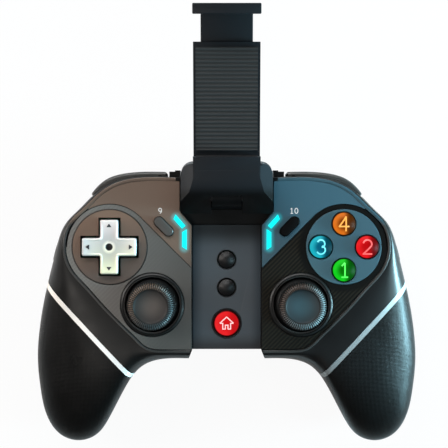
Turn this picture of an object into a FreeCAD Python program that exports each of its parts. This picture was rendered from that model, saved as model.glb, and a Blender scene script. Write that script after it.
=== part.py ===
import FreeCAD, Part
import math
import os
import Sketcher

Vector = FreeCAD.Vector
X_AXIS = Vector(1, 0, 0)
Y_AXIS = Vector(0, 1, 0)
Z_AXIS = Vector(0, 0, 1)
SIDES = (("left", -1), ("right", 1))

# Driving dimensions in millimetres and degrees. The pad lies on its back: X to the right,
# Y away from the player, Z up through the buttons.
SIZES = {
    # Housing
    "half_width": 80.0,
    "top_edge": 35.0,
    "bottom_edge": -41.3,
    "grip_tip": -76.4,
    "seam_height": 18.0,
    "face_height": 34.0,
    "shell_wall": 2.2,
    "deck_thickness": 2.2,
    "panel_thickness": 1.5,
    "rim_width": 1.2,
    "panel_groove": 0.3,
    "fit_gap": 0.1,
    "run_gap": 0.3,
    "pin_gap": 0.05,
    "press_gap": 0.02,
    "seat_wall": 2.0,
    "channel_half_width": 14.2,
    "channel_depth": 4.5,
    "strip_thickness": 1.5,
    "strip_end": -36.4,
    "notch_flare": 3.0,
    "pocket_half_width": 19.05,
    "pocket_end": 20.5,
    "pocket_taper": 5.5,
    "cheek_width": 4.6,
    "cheek_root": 3.0,
    "cheek_reach": 1.9,
    "cheek_lip": 0.6,
    # Trim bands and grips
    "trim_x": 57.2,
    "trim_y": -29.0,
    "trim_angle": 46.8,
    "trim_width": 2.0,
    # Direction pad, face buttons and their discs
    "disc_x": 48.0,
    "disc_y": 5.9,
    "plate_radius": 17.4,
    "disc_radius": 15.5,
    "disc_thickness": 1.8,
    "cross_span": 22.3,
    "arm_width": 7.4,
    "cross_thickness": 4.4,
    "cross_proud": 2.7,
    "cross_gap": 0.8,
    "dpad_pivot_drop": 3.7,
    "dpad_leg_reach": 9.2,
    "dpad_leg_radius": 1.2,
    "dpad_leg_end": 0.4,
    "dpad_leg_gap": 1.1,
    "dimple_radius": 1.4,
    "cradle_gap": 0.6,
    "cradle_wall": 1.4,
    "cradle_depth": 10.0,
    "face_button_radius": 4.8,
    "face_button_ring": 9.5,
    "face_button_proud": 2.4,
    "face_button_travel": 1.3,
    "flange_width": 0.8,
    "flange_thickness": 0.8,
    "button_edge": 0.4,
    "face_dome_radius": 4.0,
    "leg_dome_radius": 1.9,
    "capsule_dome_radius": 2.4,
    "menu_dome_radius": 2.6,
    # Small buttons
    "capsule_x": 25.8,
    "capsule_y": 14.3,
    "capsule_length": 9.4,
    "capsule_width": 3.8,
    "small_button_proud": 1.1,
    "small_button_travel": 0.7,
    "menu_radius": 3.5,
    "upper_menu_y": 0.6,
    "lower_menu_y": -10.9,
    "home_radius": 5.5,
    "home_y": -25.7,
    # Thumb sticks
    "stick_x": 30.5,
    "stick_y": -17.8,
    "stick_pivot_height": 27.0,
    "dome_radius": 12.2,
    "dome_wall": 1.0,
    "dome_hole_gap": 0.6,
    "ring_inner_radius": 11.3,
    "ring_outer_radius": 13.2,
    "ring_thickness": 2.0,
    "ring_bevel": 0.7,
    "ring_seat_drop": 0.8,
    "cap_radius": 9.7,
    "cap_dish_radius": 6.8,
    "cap_rim_height": 40.0,
    "cap_top_height": 45.6,
    "cap_dish_depth": 1.4,
    "cap_crown": 1.7,
    "cap_boss_radius": 3.2,
    "cap_boss_rise": 5.2,
    "stem_radius": 1.6,
    "gimbal_radius": 5.0,
    "gimbal_bore": 3.6,
    "gimbal_height": 3.0,
    "trunnion_radius": 0.8,
    "cross_pin_radius": 0.6,
    "module_width": 13.0,
    "module_height": 8.5,
    "module_wall": 1.0,
    # Light guides
    "light_x": 17.35,
    "light_width": 1.9,
    "light_low_y": 4.7,
    "light_length": 8.5,
    "light_end_slant": 1.2,
    "light_branch_angle": 48.5,
    "light_branch_shift": 0.5,
    "light_branch_gap": 1.4,
    "light_branch_length": 6.2,
    "light_branch_slant": 0.9,
    # Bumpers
    "bumper_start": 24.5,
    "bumper_end_x": 55.5,
    "bumper_end_y": 27.0,
    "bumper_end_angle": 48.0,
    "bumper_proud": 1.7,
    "bumper_depth": 2.5,
    "bumper_low": 22.3,
    "bumper_high": 31.5,
    "bumper_travel_gap": 1.9,
    "bumper_end_gap": 1.0,
    "bumper_pin_radius": 1.0,
    "bumper_pin_inset": 3.0,
    "bumper_pin_drop": 0.6,
    "bumper_pin_reach": 0.9,
    "switch_x": 47.5,
    "switch_drop": 2.0,
    "switch_angle": 23.0,
    "switch_gap": 0.5,
    "switch_width": 6.0,
    "switch_height": 4.0,
    "switch_depth": 3.0,
    # Triggers
    "trigger_low": 3.8,
    "trigger_high": 15.0,
    "trigger_depth": 9.0,
    "trigger_axis_drop": 1.5,
    "trigger_axis_inset": 4.5,
    "trigger_swing_gap": 2.3,
    "trigger_end_gap": 0.9,
    "trigger_end_wall": 2.5,
    "trigger_head_gap": 1.0,
    "trigger_pin_hold": 4.6,
    "trigger_pin_clear": 3.0,
    "trigger_pin_radius": 1.25,
    # Inside
    "board_rise": 0.9,
    "board_thickness": 1.6,
    "post_radius": 4.2,
    "boss_radius": 3.0,
    "screw_radius": 1.2,
    "screw_head_radius": 2.2,
    "screw_head_height": 1.6,
    "screw_seat_height": 12.0,
    "screw_length": 14.0,
    "battery_length": 40.0,
    "battery_width": 32.0,
    "battery_height": 6.5,
    "port_width": 9.0,
    "port_height": 3.2,
    "port_length": 7.4,
    "port_wall": 0.35,
    # Phone holder
    "hinge_y": 26.5,
    "hinge_height": 38.0,
    "holder_tilt": 10.0,
    "barrel_radius": 7.0,
    "knuckle_radius": 5.0,
    "knuckle_half_width": 6.0,
    "hinge_pin_radius": 2.0,
    "base_width": 37.3,
    "base_length": 13.8,
    "base_chamfer": 2.5,
    "foot_corner_radius": 5.0,
    "facet_start": 8.0,
    "facet_depth": 5.4,
    "facet_toe_angle": 125.0,
    "facet_toe_inset": 1.05,
    "column_width": 27.0,
    "column_start": 2.7,
    "column_front": 6.4,
    "lip_thickness": 2.0,
    "lip_overlap": 1.3,
    "shelf_reach": 15.6,
    "jaw_opening": 58.5,
    "jaw_thickness": 2.9,
    "phone_back": -3.0,
    "sleeve_thickness": 5.0,
    "sleeve_start": 10.0,
    "sleeve_end": 62.0,
    "slide_width": 21.0,
    "slide_thickness": 2.0,
    "slide_gap": 0.2,
    "slide_start": 31.0,
    "back_cover_thickness": 1.2,
    "pad_thickness": 0.8,
    "pad_margin": 2.0,
    "spring_radius": 0.9,
    "spring_x": 6.0,
    "bracket_thickness": 1.2,
    "bracket_half_width": 15.0,
    "bracket_half_depth": 5.5,
    "bracket_web_depth": 5.0,
    "bracket_screw_x": 12.0,
    "bracket_screw_step": 3.5,
    "bracket_head_height": 1.3,
}

doc = FreeCAD.newDocument("gamepad")
sheet = doc.addObject("Spreadsheet::Sheet", "Sizes")
for row, (alias, number) in enumerate(SIZES.items(), start=1):
    sheet.set("A%d" % row, alias)
    sheet.set("B%d" % row, str(number))
    sheet.setAlias("B%d" % row, alias)
doc.recompute()


class Size:
    """A length from the sheet: its value, and the words that bind a property to it."""

    def __init__(self, value, words):
        self.value = float(value)
        self.words = words

    def __float__(self):
        return self.value

    def __add__(self, other):
        return Size(self.value + float(other), "(%s + %s)" % (self.words, words(other)))

    def __radd__(self, other):
        return Size(float(other) + self.value, "(%s + %s)" % (words(other), self.words))

    def __sub__(self, other):
        return Size(self.value - float(other), "(%s - %s)" % (self.words, words(other)))

    def __rsub__(self, other):
        return Size(float(other) - self.value, "(%s - %s)" % (words(other), self.words))

    def __mul__(self, other):
        return Size(self.value * float(other), "(%s * %s)" % (self.words, words(other)))

    __rmul__ = __mul__

    def __truediv__(self, other):
        return Size(self.value / float(other), "(%s / %s)" % (self.words, words(other)))

    def __neg__(self):
        return Size(-self.value, "(-1 * %s)" % self.words)


def words(quantity):
    """The expression of a size, or of a plain number."""
    if isinstance(quantity, Size):
        return quantity.words
    return "(%.9g)" % float(quantity)


class Sheet:
    """Every cell of the sheet by its alias."""

    def __getattr__(self, alias):
        return Size(sheet.get(alias), "Sizes." + alias)


S = Sheet()

# Heights and places that several pieces share
deck_top = S.face_height - S.panel_thickness
deck_under = deck_top - S.deck_thickness
channel_floor = S.face_height - S.channel_depth
channel_under = channel_floor - S.deck_thickness
strip_top = channel_floor + S.strip_thickness
board_low = S.seam_height + S.board_rise
board_top = board_low + S.board_thickness

# Lengths that only have to be long enough for cutting, and plain angles
BEYOND = 1.0
ABOVE = 30.0
SPREAD = 300.0
RIGHT_ANGLE = 90.0
DIAGONAL = 45.0
SKIN_STEPS = 6
SHARP_CORNERS = 2

nodes = []


# Document helpers

def bind(obj, prop, quantity):
    """A property follows the sheet."""
    obj.setExpression(prop, words(quantity))


def place(obj, x=0, y=0, z=0, axis=None, angle=0):
    """The placement of an object follows the sheet too."""
    if axis is not None:
        obj.Placement = FreeCAD.Placement(Vector(), FreeCAD.Rotation(axis, float(angle)))
        if isinstance(angle, Size):
            obj.setExpression("Placement.Rotation.Angle", words(angle))
    for letter, quantity in (("x", x), ("y", y), ("z", z)):
        obj.setExpression("Placement.Base." + letter, words(quantity))
    return obj


def box(name, low, high):
    """A block between two corners."""
    obj = doc.addObject("Part::Box", name)
    for prop, a, b in (("Length", low[0], high[0]), ("Width", low[1], high[1]), ("Height", low[2], high[2])):
        bind(obj, prop, b - a)
    return place(obj, *low)


def cylinder(name, radius, length, at=(0, 0, 0), axis=None, angle=0):
    """A round bar that stands on its place."""
    obj = doc.addObject("Part::Cylinder", name)
    bind(obj, "Radius", radius)
    bind(obj, "Height", length)
    return place(obj, at[0], at[1], at[2], axis, angle)


def cone(name, low_radius, high_radius, length, at):
    """A tapered round bar."""
    obj = doc.addObject("Part::Cone", name)
    bind(obj, "Radius1", low_radius)
    bind(obj, "Radius2", high_radius)
    bind(obj, "Height", length)
    return place(obj, *at)


def fuse(name, pieces):
    """Pieces made in one."""
    obj = doc.addObject("Part::MultiFuse", name)
    obj.Shapes = pieces
    return obj


def cut(name, base, tools):
    """A piece with holes and slots taken out."""
    obj = doc.addObject("Part::Cut", name)
    obj.Base = base
    obj.Tool = tools[0] if len(tools) == 1 else fuse(name + "_cutter", tools)
    return obj


def group(name, pieces):
    """Loose solids of one node, such as its screws."""
    obj = doc.addObject("Part::Compound", name)
    obj.Links = pieces
    return obj


def feature(name, shape):
    """A piece whose shape no primitive gives."""
    obj = doc.addObject("Part::Feature", name)
    obj.Shape = shape
    obj.Placement = FreeCAD.Placement()
    return obj


def node(label, obj):
    """Names a sub-part."""
    obj.Label = label
    nodes.append(obj)
    return obj


def drawn_body(name, plane, corners):
    """A body with a closed sketch whose corners follow the sheet."""
    body = doc.addObject("PartDesign::Body", name + "_body")
    sketch = body.newObject("Sketcher::SketchObject", name + "_sketch")
    origin_plane = [item for item in body.Origin.OriginFeatures if item.Role == plane][0]
    sketch.AttachmentSupport = (origin_plane, [""])
    sketch.MapMode = "FlatFace"
    points = [Vector(float(a), float(b), 0) for a, b in corners]
    count = len(points)
    for index in range(count):
        sketch.addGeometry(Part.LineSegment(points[index], points[(index + 1) % count]), False)
    for index in range(count):
        sketch.addConstraint(Sketcher.Constraint("Coincident", index, 2, (index + 1) % count, 1))
    for index, (a, b) in enumerate(corners):
        for kind, quantity in (("DistanceX", a), ("DistanceY", b)):
            place_of = sketch.addConstraint(Sketcher.Constraint(kind, -1, 1, index, 1, float(quantity)))
            sketch.setExpression("Constraints[%d]" % place_of, words(quantity))
    return body, sketch


def turned(name, corners, at=(0, 0, 0)):
    """A round piece turned about the vertical line through its place."""
    body, sketch = drawn_body(name, "XZ_Plane", corners)
    turn = body.newObject("PartDesign::Revolution", name + "_turn")
    turn.Profile = sketch
    turn.ReferenceAxis = (sketch, ["V_Axis"])
    turn.Angle = 360
    sketch.Visibility = False
    return place(body, *at)


def padded(name, plane, corners, length):
    """A flat outline given a thickness."""
    body, sketch = drawn_body(name, plane, corners)
    pad = body.newObject("PartDesign::Pad", name + "_pad")
    pad.Profile = sketch
    bind(pad, "Length", length)
    return body


# Curved shapes of the housing

def edge_line():
    """Right half of the widest outline, at the seam, from the top centre clockwise."""
    w, top, low, tip = (float(v) for v in (S.half_width, S.top_edge, S.bottom_edge, S.grip_tip))
    return [
        (0, top), (20, top), (38, top), (47.5, top - 2.0), (55.5, top - 7.2), (62, 21.2), (67.6, 15.2),
        (71.0, 7.0), (73.8, -3.0), (w - 3.0, -16), (w - 0.7, -30), (w, -42), (w - 1.1, tip + 22.4),
        (w - 4.1, tip + 9.9), (w - 9.5, tip + 2.6), (w - 17.0, tip), (w - 25.0, tip + 2.6),
        (w - 30.1, tip + 9.3), (42.7, -53.5), (35.5, low - 3.3), (26, low - 0.1), (13, low), (0, low)]


def face_line():
    """Right half of the outer edge of the face rim, point for point with edge_line."""
    top, low = float(S.top_edge) - 0.7, float(S.bottom_edge) + 3.6
    return [
        (0, top), (20, top), (36, top), (45.5, top - 2.1), (52.5, top - 6.3), (58.5, 22.2), (64, 16.8),
        (67.0, 9.5), (66.4, 0), (63.5, -5.5), (59, -10.5), (54.5, -15.5), (50, -20.5), (47, -23.6),
        (44.2, -26.4), (42, -28.6), (40, -30.5), (38, -32.5), (35.6, -34.9), (32.5, low + 0.9),
        (26.5, low + 0.1), (14, low), (0, low)]


def back_line():
    """Right half of the flat that the pad rests on, point for point with edge_line."""
    w, top, low, tip = (float(v) for v in (S.half_width, S.top_edge, S.bottom_edge, S.grip_tip))
    return [
        (0, top - 10), (17, top - 10), (31, top - 10.5), (38, top - 13), (44.5, 17.5), (50.5, 12),
        (55, 6), (57.5, 0), (59.5, -7), (w - 17.5, -18), (w - 14.5, -30), (w - 13, -42),
        (w - 13.5, tip + 25.4), (w - 14.8, tip + 18.9), (w - 16.5, tip + 15.7), (w - 18.5, tip + 14.8),
        (w - 21, tip + 16.2), (w - 24, tip + 21.4), (49.5, -42.5), (42.5, -35), (30, low + 10.3),
        (14, low + 10.8), (0, low + 10.8)]


def loop(half):
    """The closed outline from its right half."""
    return half + [(-x, y) for x, y in reversed(half[1:-1])]


def closed_edge(points, height):
    """A smooth closed curve through points."""
    curve = Part.BSplineCurve()
    curve.interpolate(Points=[Vector(x, y, float(height)) for x, y in points], PeriodicFlag=True)
    return Part.Wire([curve.toShape()])


def moved_out(points, distance, closed=True):
    """Each point moved along the outward normal of the curve, inwards where distance is negative."""
    count = len(points)
    moved = []
    for index, (x, y) in enumerate(points):
        if closed:
            before, after = points[index - 1], points[(index + 1) % count]
        else:
            before, after = points[max(index - 1, 0)], points[min(index + 1, count - 1)]
        along = (after[0] - before[0], after[1] - before[1])
        size = math.hypot(*along)
        moved.append((x - along[1] / size * float(distance), y + along[0] / size * float(distance)))
    return moved


def skin(wide, narrow, wide_height, narrow_height):
    """A rounded half shell: a quarter of an ellipse between the wide outline and the narrow one."""
    sections = []
    for step in range(SKIN_STEPS + 1):
        turn = math.radians(RIGHT_ANGLE * step / SKIN_STEPS)
        share = math.cos(turn)
        points = [(n[0] + (e[0] - n[0]) * share, n[1] + (e[1] - n[1]) * share) for e, n in zip(wide, narrow)]
        height = float(wide_height) + (float(narrow_height) - float(wide_height)) * math.sin(turn)
        sections.append(closed_edge(points, height))
    return Part.makeLoft(sections, True, True)


def prism(points, low, high):
    """Straight walls over a closed polygon."""
    corners = [Vector(float(x), float(y), float(low)) for x, y in points]
    wire = Part.makePolygon(corners + corners[:1])
    return Part.Face(wire).extrude(Vector(0, 0, float(high) - float(low)))


def curved_prism(points, low, high):
    """Straight walls over a smooth closed outline."""
    return Part.Face(closed_edge(points, low)).extrude(Vector(0, 0, float(high) - float(low)))


def disc(radius, x, y, low, high):
    """A plain round solid for cutting."""
    return Part.makeCylinder(float(radius), float(high) - float(low), Vector(float(x), float(y), float(low)))


def block(x0, x1, y0, y1, z0, z1):
    """A plain block for cutting."""
    return Part.makeBox(float(x1) - float(x0), float(y1) - float(y0), float(z1) - float(z0),
                        Vector(float(x0), float(y0), float(z0)))


def mirrored(shape):
    """The same shape on the other side."""
    return shape.mirror(Vector(), X_AXIS)


def both_sides(shape):
    """A right-hand shape and its mirror image."""
    return [shape, mirrored(shape)]


def beyond_trim(side, start, depth=SPREAD):
    """Everything past a plane across the grip, start from the middle of the trim band."""
    wall = block(float(start), float(start) + depth, -SPREAD, SPREAD, -ABOVE, 2 * ABOVE + float(S.face_height))
    wall.rotate(Vector(), Z_AXIS, float(S.trim_angle) - RIGHT_ANGLE)
    wall.translate(Vector(float(S.trim_x), float(S.trim_y), 0))
    return wall if side > 0 else mirrored(wall)


def capsule(length, width, x, y, angle, low, high):
    """A bar with round ends."""
    half = (float(length) - float(width)) / 2
    radius = float(width) / 2
    height = float(high) - float(low)
    bar = Part.makeBox(2 * half, 2 * radius, height, Vector(-half, -radius, 0))
    ends = [Part.makeCylinder(radius, height, Vector(end, 0, 0)) for end in (-half, half)]
    shape = bar.multiFuse(ends).removeSplitter()
    shape.rotate(Vector(), Z_AXIS, angle)
    shape.translate(Vector(float(x), float(y), float(low)))
    return shape


def screw_places():
    """The six housing screws."""
    return [(sign * x, y) for x, y in ((27.0, 22.0), (52.0, -16.0), (15.2, -27.5)) for _, sign in SIDES]


def face_button_places():
    """Label, angle and centre of each face button."""
    found = []
    for word, angle in (("top", 90), ("left", 180), ("bottom", 270), ("right", 0)):
        turn = math.radians(angle)
        found.append((word, S.disc_x + S.face_button_ring * math.cos(turn),
                      S.disc_y + S.face_button_ring * math.sin(turn)))
    return found


EDGE = loop(edge_line())
FACE = loop(face_line())
BACK = loop(back_line())

# Places that several pieces share
ring_seat_bore = S.ring_inner_radius + S.run_gap
dome_bore = S.dome_radius + S.dome_hole_gap
button_hole = S.face_button_radius + S.run_gap
bumper_floor = S.bumper_depth + S.bumper_travel_gap
bumper_pin_x = S.bumper_start + S.bumper_pin_inset
bumper_pin_y = S.top_edge - S.bumper_pin_drop
trigger_top = S.trigger_high + S.trigger_head_gap
trigger_axis_height = S.trigger_high - S.trigger_axis_drop
trigger_wall = S.trigger_depth + S.trigger_swing_gap
trigger_end_reach = S.trigger_end_gap + S.trigger_end_wall


def outer_upper():
    """Outside of the upper half."""
    return skin(EDGE, FACE, S.seam_height, S.face_height)


def outer_lower():
    """Outside of the lower half."""
    return skin(EDGE, BACK, S.seam_height, 0)


def inner_upper():
    """Hollow of the upper half."""
    return skin(moved_out(EDGE, -S.shell_wall), moved_out(FACE, -S.shell_wall / 2), S.seam_height, deck_under)


def inner_lower():
    """Hollow of the lower half."""
    return skin(moved_out(EDGE, -S.shell_wall), moved_out(BACK, -S.shell_wall / 2), S.seam_height, S.shell_wall)


def notch(wall):
    """The gap between the two bodies at the lower end of the channel, with a wall's thickness added."""
    half = float(S.channel_half_width) + wall
    flare = float(S.notch_flare)
    end = float(S.strip_end) + wall
    far = float(S.bottom_edge) - flare
    return prism([(-half, end), (half, end), (half + flare, far), (-half - flare, far)], -1, S.face_height + 1)


def channel(wall, depth_height):
    """The recessed middle, from its lower end to the holder's pocket."""
    half = float(S.channel_half_width) + wall
    return block(-half, half, S.bottom_edge - 5, S.pocket_end, depth_height, S.face_height + ABOVE)


def holder_pocket(wall, depth_height):
    """The pocket that the phone holder folds in."""
    wide = float(S.pocket_half_width) + wall
    slim = float(S.channel_half_width) + wall
    y0 = float(S.pocket_end)
    y1 = y0 - float(S.pocket_taper) - wall
    far = float(S.top_edge) + 10
    points = [(-wide, far), (-wide, y0), (-slim, y1), (slim, y1), (wide, y0), (wide, far)]
    return prism(points, depth_height, S.face_height + ABOVE)


def bumper_sector(start_gap, end_gap):
    """Plan area of the right bumper, grown at both ends."""
    x0 = float(S.bumper_start) - start_gap
    ex, ey = float(S.bumper_end_x), float(S.bumper_end_y)
    out = math.radians(float(S.bumper_end_angle))
    ex += end_gap * math.sin(out)
    ey -= end_gap * math.cos(out)
    reach = ex / 2 * math.cos(out)
    inner = (ex - reach * math.cos(out), ey - reach * math.sin(out))
    outer = (ex + reach * math.cos(out), ey + reach * math.sin(out))
    return [(x0, inner[1]), (x0, outer[1]), outer, inner]


def shoulder_band(out, depth, gaps, low, high):
    """A band along the right shoulder, between out past the edge and depth inside it."""
    ring = curved_prism(moved_out(EDGE, out), low, high).cut(curved_prism(moved_out(EDGE, -depth), low, high))
    return ring.common(prism(bumper_sector(*gaps), low, high))


def trigger_curve():
    """Outer line of the right trigger in plan, its tail standing proud of the body."""
    return [(46.0, 33.0), (55.0, 26.8), (61.0, 22.0), (65.6, 18.2), (69.9, 13.0), (72.8, 6.4), (74.7, -0.8)]


def trigger_axis():
    """A point on the right trigger's axis and its direction, along the chord of the curve."""
    first, last = trigger_curve()[0], trigger_curve()[-1]
    along = Vector(last[0] - first[0], last[1] - first[1], 0).normalize()
    inward = Vector(along.y, -along.x, 0)
    start = Vector(first[0], first[1], float(trigger_axis_height)) + inward * float(S.trigger_axis_inset)
    return start, along, math.hypot(last[0] - first[0], last[1] - first[1])


def trigger_band(out, depth, extra, low, high):
    """A band along the trigger's line, grown past its ends."""
    line = trigger_curve()
    first, second, before, last = line[0], line[1], line[-2], line[-1]

    def grown(end, inner):
        size = math.hypot(end[0] - inner[0], end[1] - inner[1])
        return (end[0] + (end[0] - inner[0]) / size * extra, end[1] + (end[1] - inner[1]) / size * extra)

    if extra > 0:
        line = [grown(first, second)] + line[1:-1] + [grown(last, before)]
    outer = moved_out(line, out, closed=False)
    inner = moved_out(line, -depth, closed=False)
    edges = []
    for points in (outer, inner):
        curve = Part.BSplineCurve()
        curve.interpolate([Vector(x, y, float(low)) for x, y in points])
        edges.append(curve.toShape())
    ends = [Part.makeLine(Vector(*outer[k], float(low)), Vector(*inner[k], float(low))) for k in (0, -1)]
    wire = Part.Wire(Part.__sortEdges__(edges + ends))
    return Part.Face(wire).extrude(Vector(0, 0, float(high) - float(low)))


def trigger_pin_shapes(radius, reach_in, reach_out):
    """Two short bars on the right trigger's axis, one at each end."""
    start, along, length = trigger_axis()
    inside, outside = float(reach_in), float(reach_out)
    first = Part.makeCylinder(float(radius), inside + outside, start - along * outside, along)
    far = start + along * length
    second = Part.makeCylinder(float(radius), inside + outside, far - along * inside, along)
    return [first, second]


def shoulder_switch(gap, depth_gap):
    """The right bumper's switch, let into the wall behind it, or its hole."""
    half_w = float(S.switch_width) / 2 + gap
    half_h = float(S.switch_height) / 2 + gap
    length = float(S.switch_depth) + 2 * depth_gap
    body = Part.makeBox(2 * half_w, length, 2 * half_h, Vector(-half_w, -length + depth_gap, -half_h))
    body.rotate(Vector(), Z_AXIS, -float(S.switch_angle))
    middle = (float(S.bumper_low) + float(S.bumper_high)) / 2
    front = float(bumper_floor - S.switch_gap)
    lean = math.radians(float(S.switch_angle))
    body.translate(Vector(float(S.switch_x) - front * math.sin(lean),
                          float(S.top_edge - S.switch_drop) - front * math.cos(lean), middle))
    return body


def make_front_housing():
    """Upper shell: deck under the panels, channel, pocket, bumper seats, screw bosses."""
    wall = float(S.shell_wall)
    walls = (float(S.run_gap + S.shell_wall), float(S.bumper_end_gap + S.shell_wall))
    shoulder = shoulder_band(BEYOND, bumper_floor + S.seat_wall, walls, board_top + S.run_gap, S.face_height)
    kept = [channel(wall, channel_under), holder_pocket(wall, channel_under), notch(wall)]
    shell = outer_upper().cut(inner_upper().cut(kept + both_sides(shoulder)))
    cheek_start = S.pocket_half_width + S.fit_gap
    cheek = block(cheek_start, S.pocket_half_width + S.cheek_width, S.top_edge - S.cheek_root,
                  S.top_edge + S.cheek_reach, S.bumper_low, S.bumper_high)
    lip = block(cheek_start, S.pocket_half_width + S.cheek_width / 2, S.top_edge - S.cheek_root,
                S.top_edge + S.cheek_reach + S.cheek_lip, S.bumper_low + S.seat_wall,
                S.bumper_high - S.seat_wall)
    for piece in both_sides(cheek.fuse(lip)):
        shell = shell.fuse(piece)
    for x, y in screw_places():
        shell = shell.fuse(disc(S.boss_radius, x, y, board_top, deck_under + BEYOND).cut(
            channel(0, channel_floor - S.fit_gap)))
    away = [curved_prism(moved_out(FACE, -S.rim_width), deck_top, S.face_height + ABOVE),
            channel(0, channel_floor), holder_pocket(0, channel_floor), notch(0)]
    gaps = (float(S.run_gap), float(S.bumper_end_gap))
    away += both_sides(shoulder_band(6.0, bumper_floor, gaps, S.bumper_low - S.run_gap,
                                     S.bumper_high + S.run_gap))
    pins = disc(S.bumper_pin_radius + S.press_gap, bumper_pin_x, bumper_pin_y,
                S.bumper_low - S.bumper_pin_reach, S.bumper_high + S.bumper_pin_reach)
    away += both_sides(pins) + both_sides(shoulder_switch(float(S.fit_gap), float(S.seat_wall)))
    for _, sign in SIDES:
        x = sign * float(S.stick_x)
        seat_low = deck_under - S.ring_seat_drop
        away.append(disc(dome_bore, x, S.stick_y, S.seam_height - BEYOND, seat_low))
        away.append(Part.makeCone(float(dome_bore), float(ring_seat_bore), float(deck_top - seat_low),
                                  Vector(x, float(S.stick_y), float(seat_low))))
        away.append(capsule(S.capsule_length + 2 * S.run_gap, S.capsule_width + 2 * S.run_gap,
                            sign * float(S.capsule_x), S.capsule_y, sign * DIAGONAL, deck_under - BEYOND,
                            deck_top + BEYOND))
    away.append(disc(S.disc_radius - S.seat_wall, -S.disc_x, S.disc_y, S.seam_height - BEYOND,
                     deck_top + BEYOND))
    for _, x, y in face_button_places():
        away.append(disc(button_hole + S.fit_gap, x, y, S.seam_height, deck_top + BEYOND))
    for radius, y in ((S.menu_radius, S.upper_menu_y), (S.menu_radius, S.lower_menu_y),
                      (S.home_radius, S.home_y)):
        away.append(disc(radius + S.run_gap, 0, y, channel_under - BEYOND, channel_floor + BEYOND))
    thread = S.screw_radius + S.press_gap
    for x, y in screw_places():
        away.append(disc(thread, x, y, S.seam_height, S.screw_seat_height + S.screw_length + S.run_gap))
    for x, y in bracket_screw_places():
        away.append(disc(thread, x, y, channel_under - BEYOND, channel_floor + BEYOND))
    away.append(block(-S.port_width / 2 - S.fit_gap, S.port_width / 2 + S.fit_gap, S.top_edge - 10,
                      S.top_edge + 5, board_top - S.fit_gap, board_top + S.port_height + S.fit_gap))
    for _, sign in SIDES:
        away.append(beyond_trim(sign, -S.trim_width / 2))
    return shell.cut(away)


def make_rear_housing():
    """Lower shell: screw posts, trigger seats, and the flat that the pad rests on."""
    seats = trigger_band(S.trigger_depth / 2, trigger_wall + S.seat_wall, float(trigger_end_reach), 0,
                         S.seam_height + BEYOND)
    shell = outer_lower().cut(inner_lower().cut([notch(float(S.shell_wall))] + both_sides(seats)))
    for x, y in screw_places():
        shell = shell.fuse(disc(S.post_radius, x, y, S.shell_wall / 2, board_low))
    away = [notch(0)]
    away += both_sides(trigger_band(S.trigger_depth / 2, trigger_wall, float(S.trigger_end_gap), -BEYOND,
                                    trigger_top))
    for pin in trigger_pin_shapes(S.trigger_pin_radius + S.press_gap, S.trigger_pin_clear,
                                  trigger_end_reach - 2 * S.fit_gap):
        away += both_sides(pin)
    for x, y in screw_places():
        away.append(disc(S.screw_radius + S.fit_gap, x, y, -BEYOND, board_low + BEYOND))
        away.append(disc(S.screw_head_radius + S.run_gap, x, y, -BEYOND, S.screw_seat_height))
    for _, sign in SIDES:
        away.append(beyond_trim(sign, -S.trim_width / 2))
    return shell.cut(away)


def hollow_body():
    """The closed outer form with its hollow, from which the grips and trims are cut."""
    return outer_upper().fuse(outer_lower()).cut(inner_upper().fuse(inner_lower()))


def panel_area(low, high):
    """The right-hand face inside the rim and beside the channel."""
    inside = curved_prism(moved_out(FACE, -S.rim_width - S.panel_groove), low, high)
    side = block(S.channel_half_width + S.panel_groove, SPREAD, -SPREAD, SPREAD, low, high)
    return inside.common(side)


def plate_area(grow, low, high):
    """The round plate with its diagonal band towards the channel."""
    radius = float(S.plate_radius) + grow
    x, y = float(S.disc_x), float(S.disc_y)
    touch = (x - radius * math.sqrt(0.5), y + radius * math.sqrt(0.5))
    x0 = float(S.channel_half_width) - BEYOND
    band = prism([touch, (x0, touch[1] - (touch[0] - x0)), (x0, -SPREAD), (SPREAD, -SPREAD), (SPREAD, y),
                  (x, y)], low, high)
    return band.fuse(disc(radius, x, y, low, high))


def light_shapes(gap, low, high):
    """The upright light bar, longest on its inner side, and the slanting one above it, each grown by gap."""
    width, slant = float(S.light_width), float(S.light_end_slant)
    inner = float(S.light_x) - width / 2
    outer = inner + width
    y0 = float(S.light_low_y)
    y1 = y0 + float(S.light_length)
    bar = [(inner, y0), (outer, y0 + slant), (outer, y1 - slant), (inner, y1)]
    turn = math.radians(float(S.light_branch_angle))
    along = Vector(math.cos(turn), math.sin(turn), 0)
    across = Vector(along.y, -along.x, 0) * width
    start = Vector(inner + float(S.light_branch_shift), y1 + float(S.light_branch_gap), 0)
    reach = float(S.light_branch_length)
    short = reach - float(S.light_branch_slant)
    corners = [start, start + across, start + across + along * short, start + along * reach]
    branch = [(corner.x, corner.y) for corner in corners]
    shapes = []
    for points in (bar, branch):
        face = Part.Face(Part.makePolygon([Vector(x, y, float(low)) for x, y in points + points[:1]]))
        if gap:
            face = face.makeOffset2D(gap, join=SHARP_CORNERS)
        shapes.append(face.extrude(Vector(0, 0, float(high) - float(low))))
    return shapes


def make_top_panel():
    """Right-hand cover between the top edge and the round plate."""
    low, high = deck_top, S.face_height
    area = panel_area(low, high).cut(plate_area(float(S.panel_groove), low, high))
    area = area.cut(holder_pocket(float(S.panel_groove), low - 1))
    area = area.cut(block(S.disc_x + S.plate_radius / 2, SPREAD, -SPREAD, SPREAD, low, high))
    hole = capsule(S.capsule_length + 2 * S.run_gap, S.capsule_width + 2 * S.run_gap, S.capsule_x, S.capsule_y,
                   DIAGONAL, low - 1, high + 1)
    area = area.cut([hole] + light_shapes(float(S.pin_gap), low - 1, high + 1))
    return max(area.Solids, key=lambda solid: solid.Volume)


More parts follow.
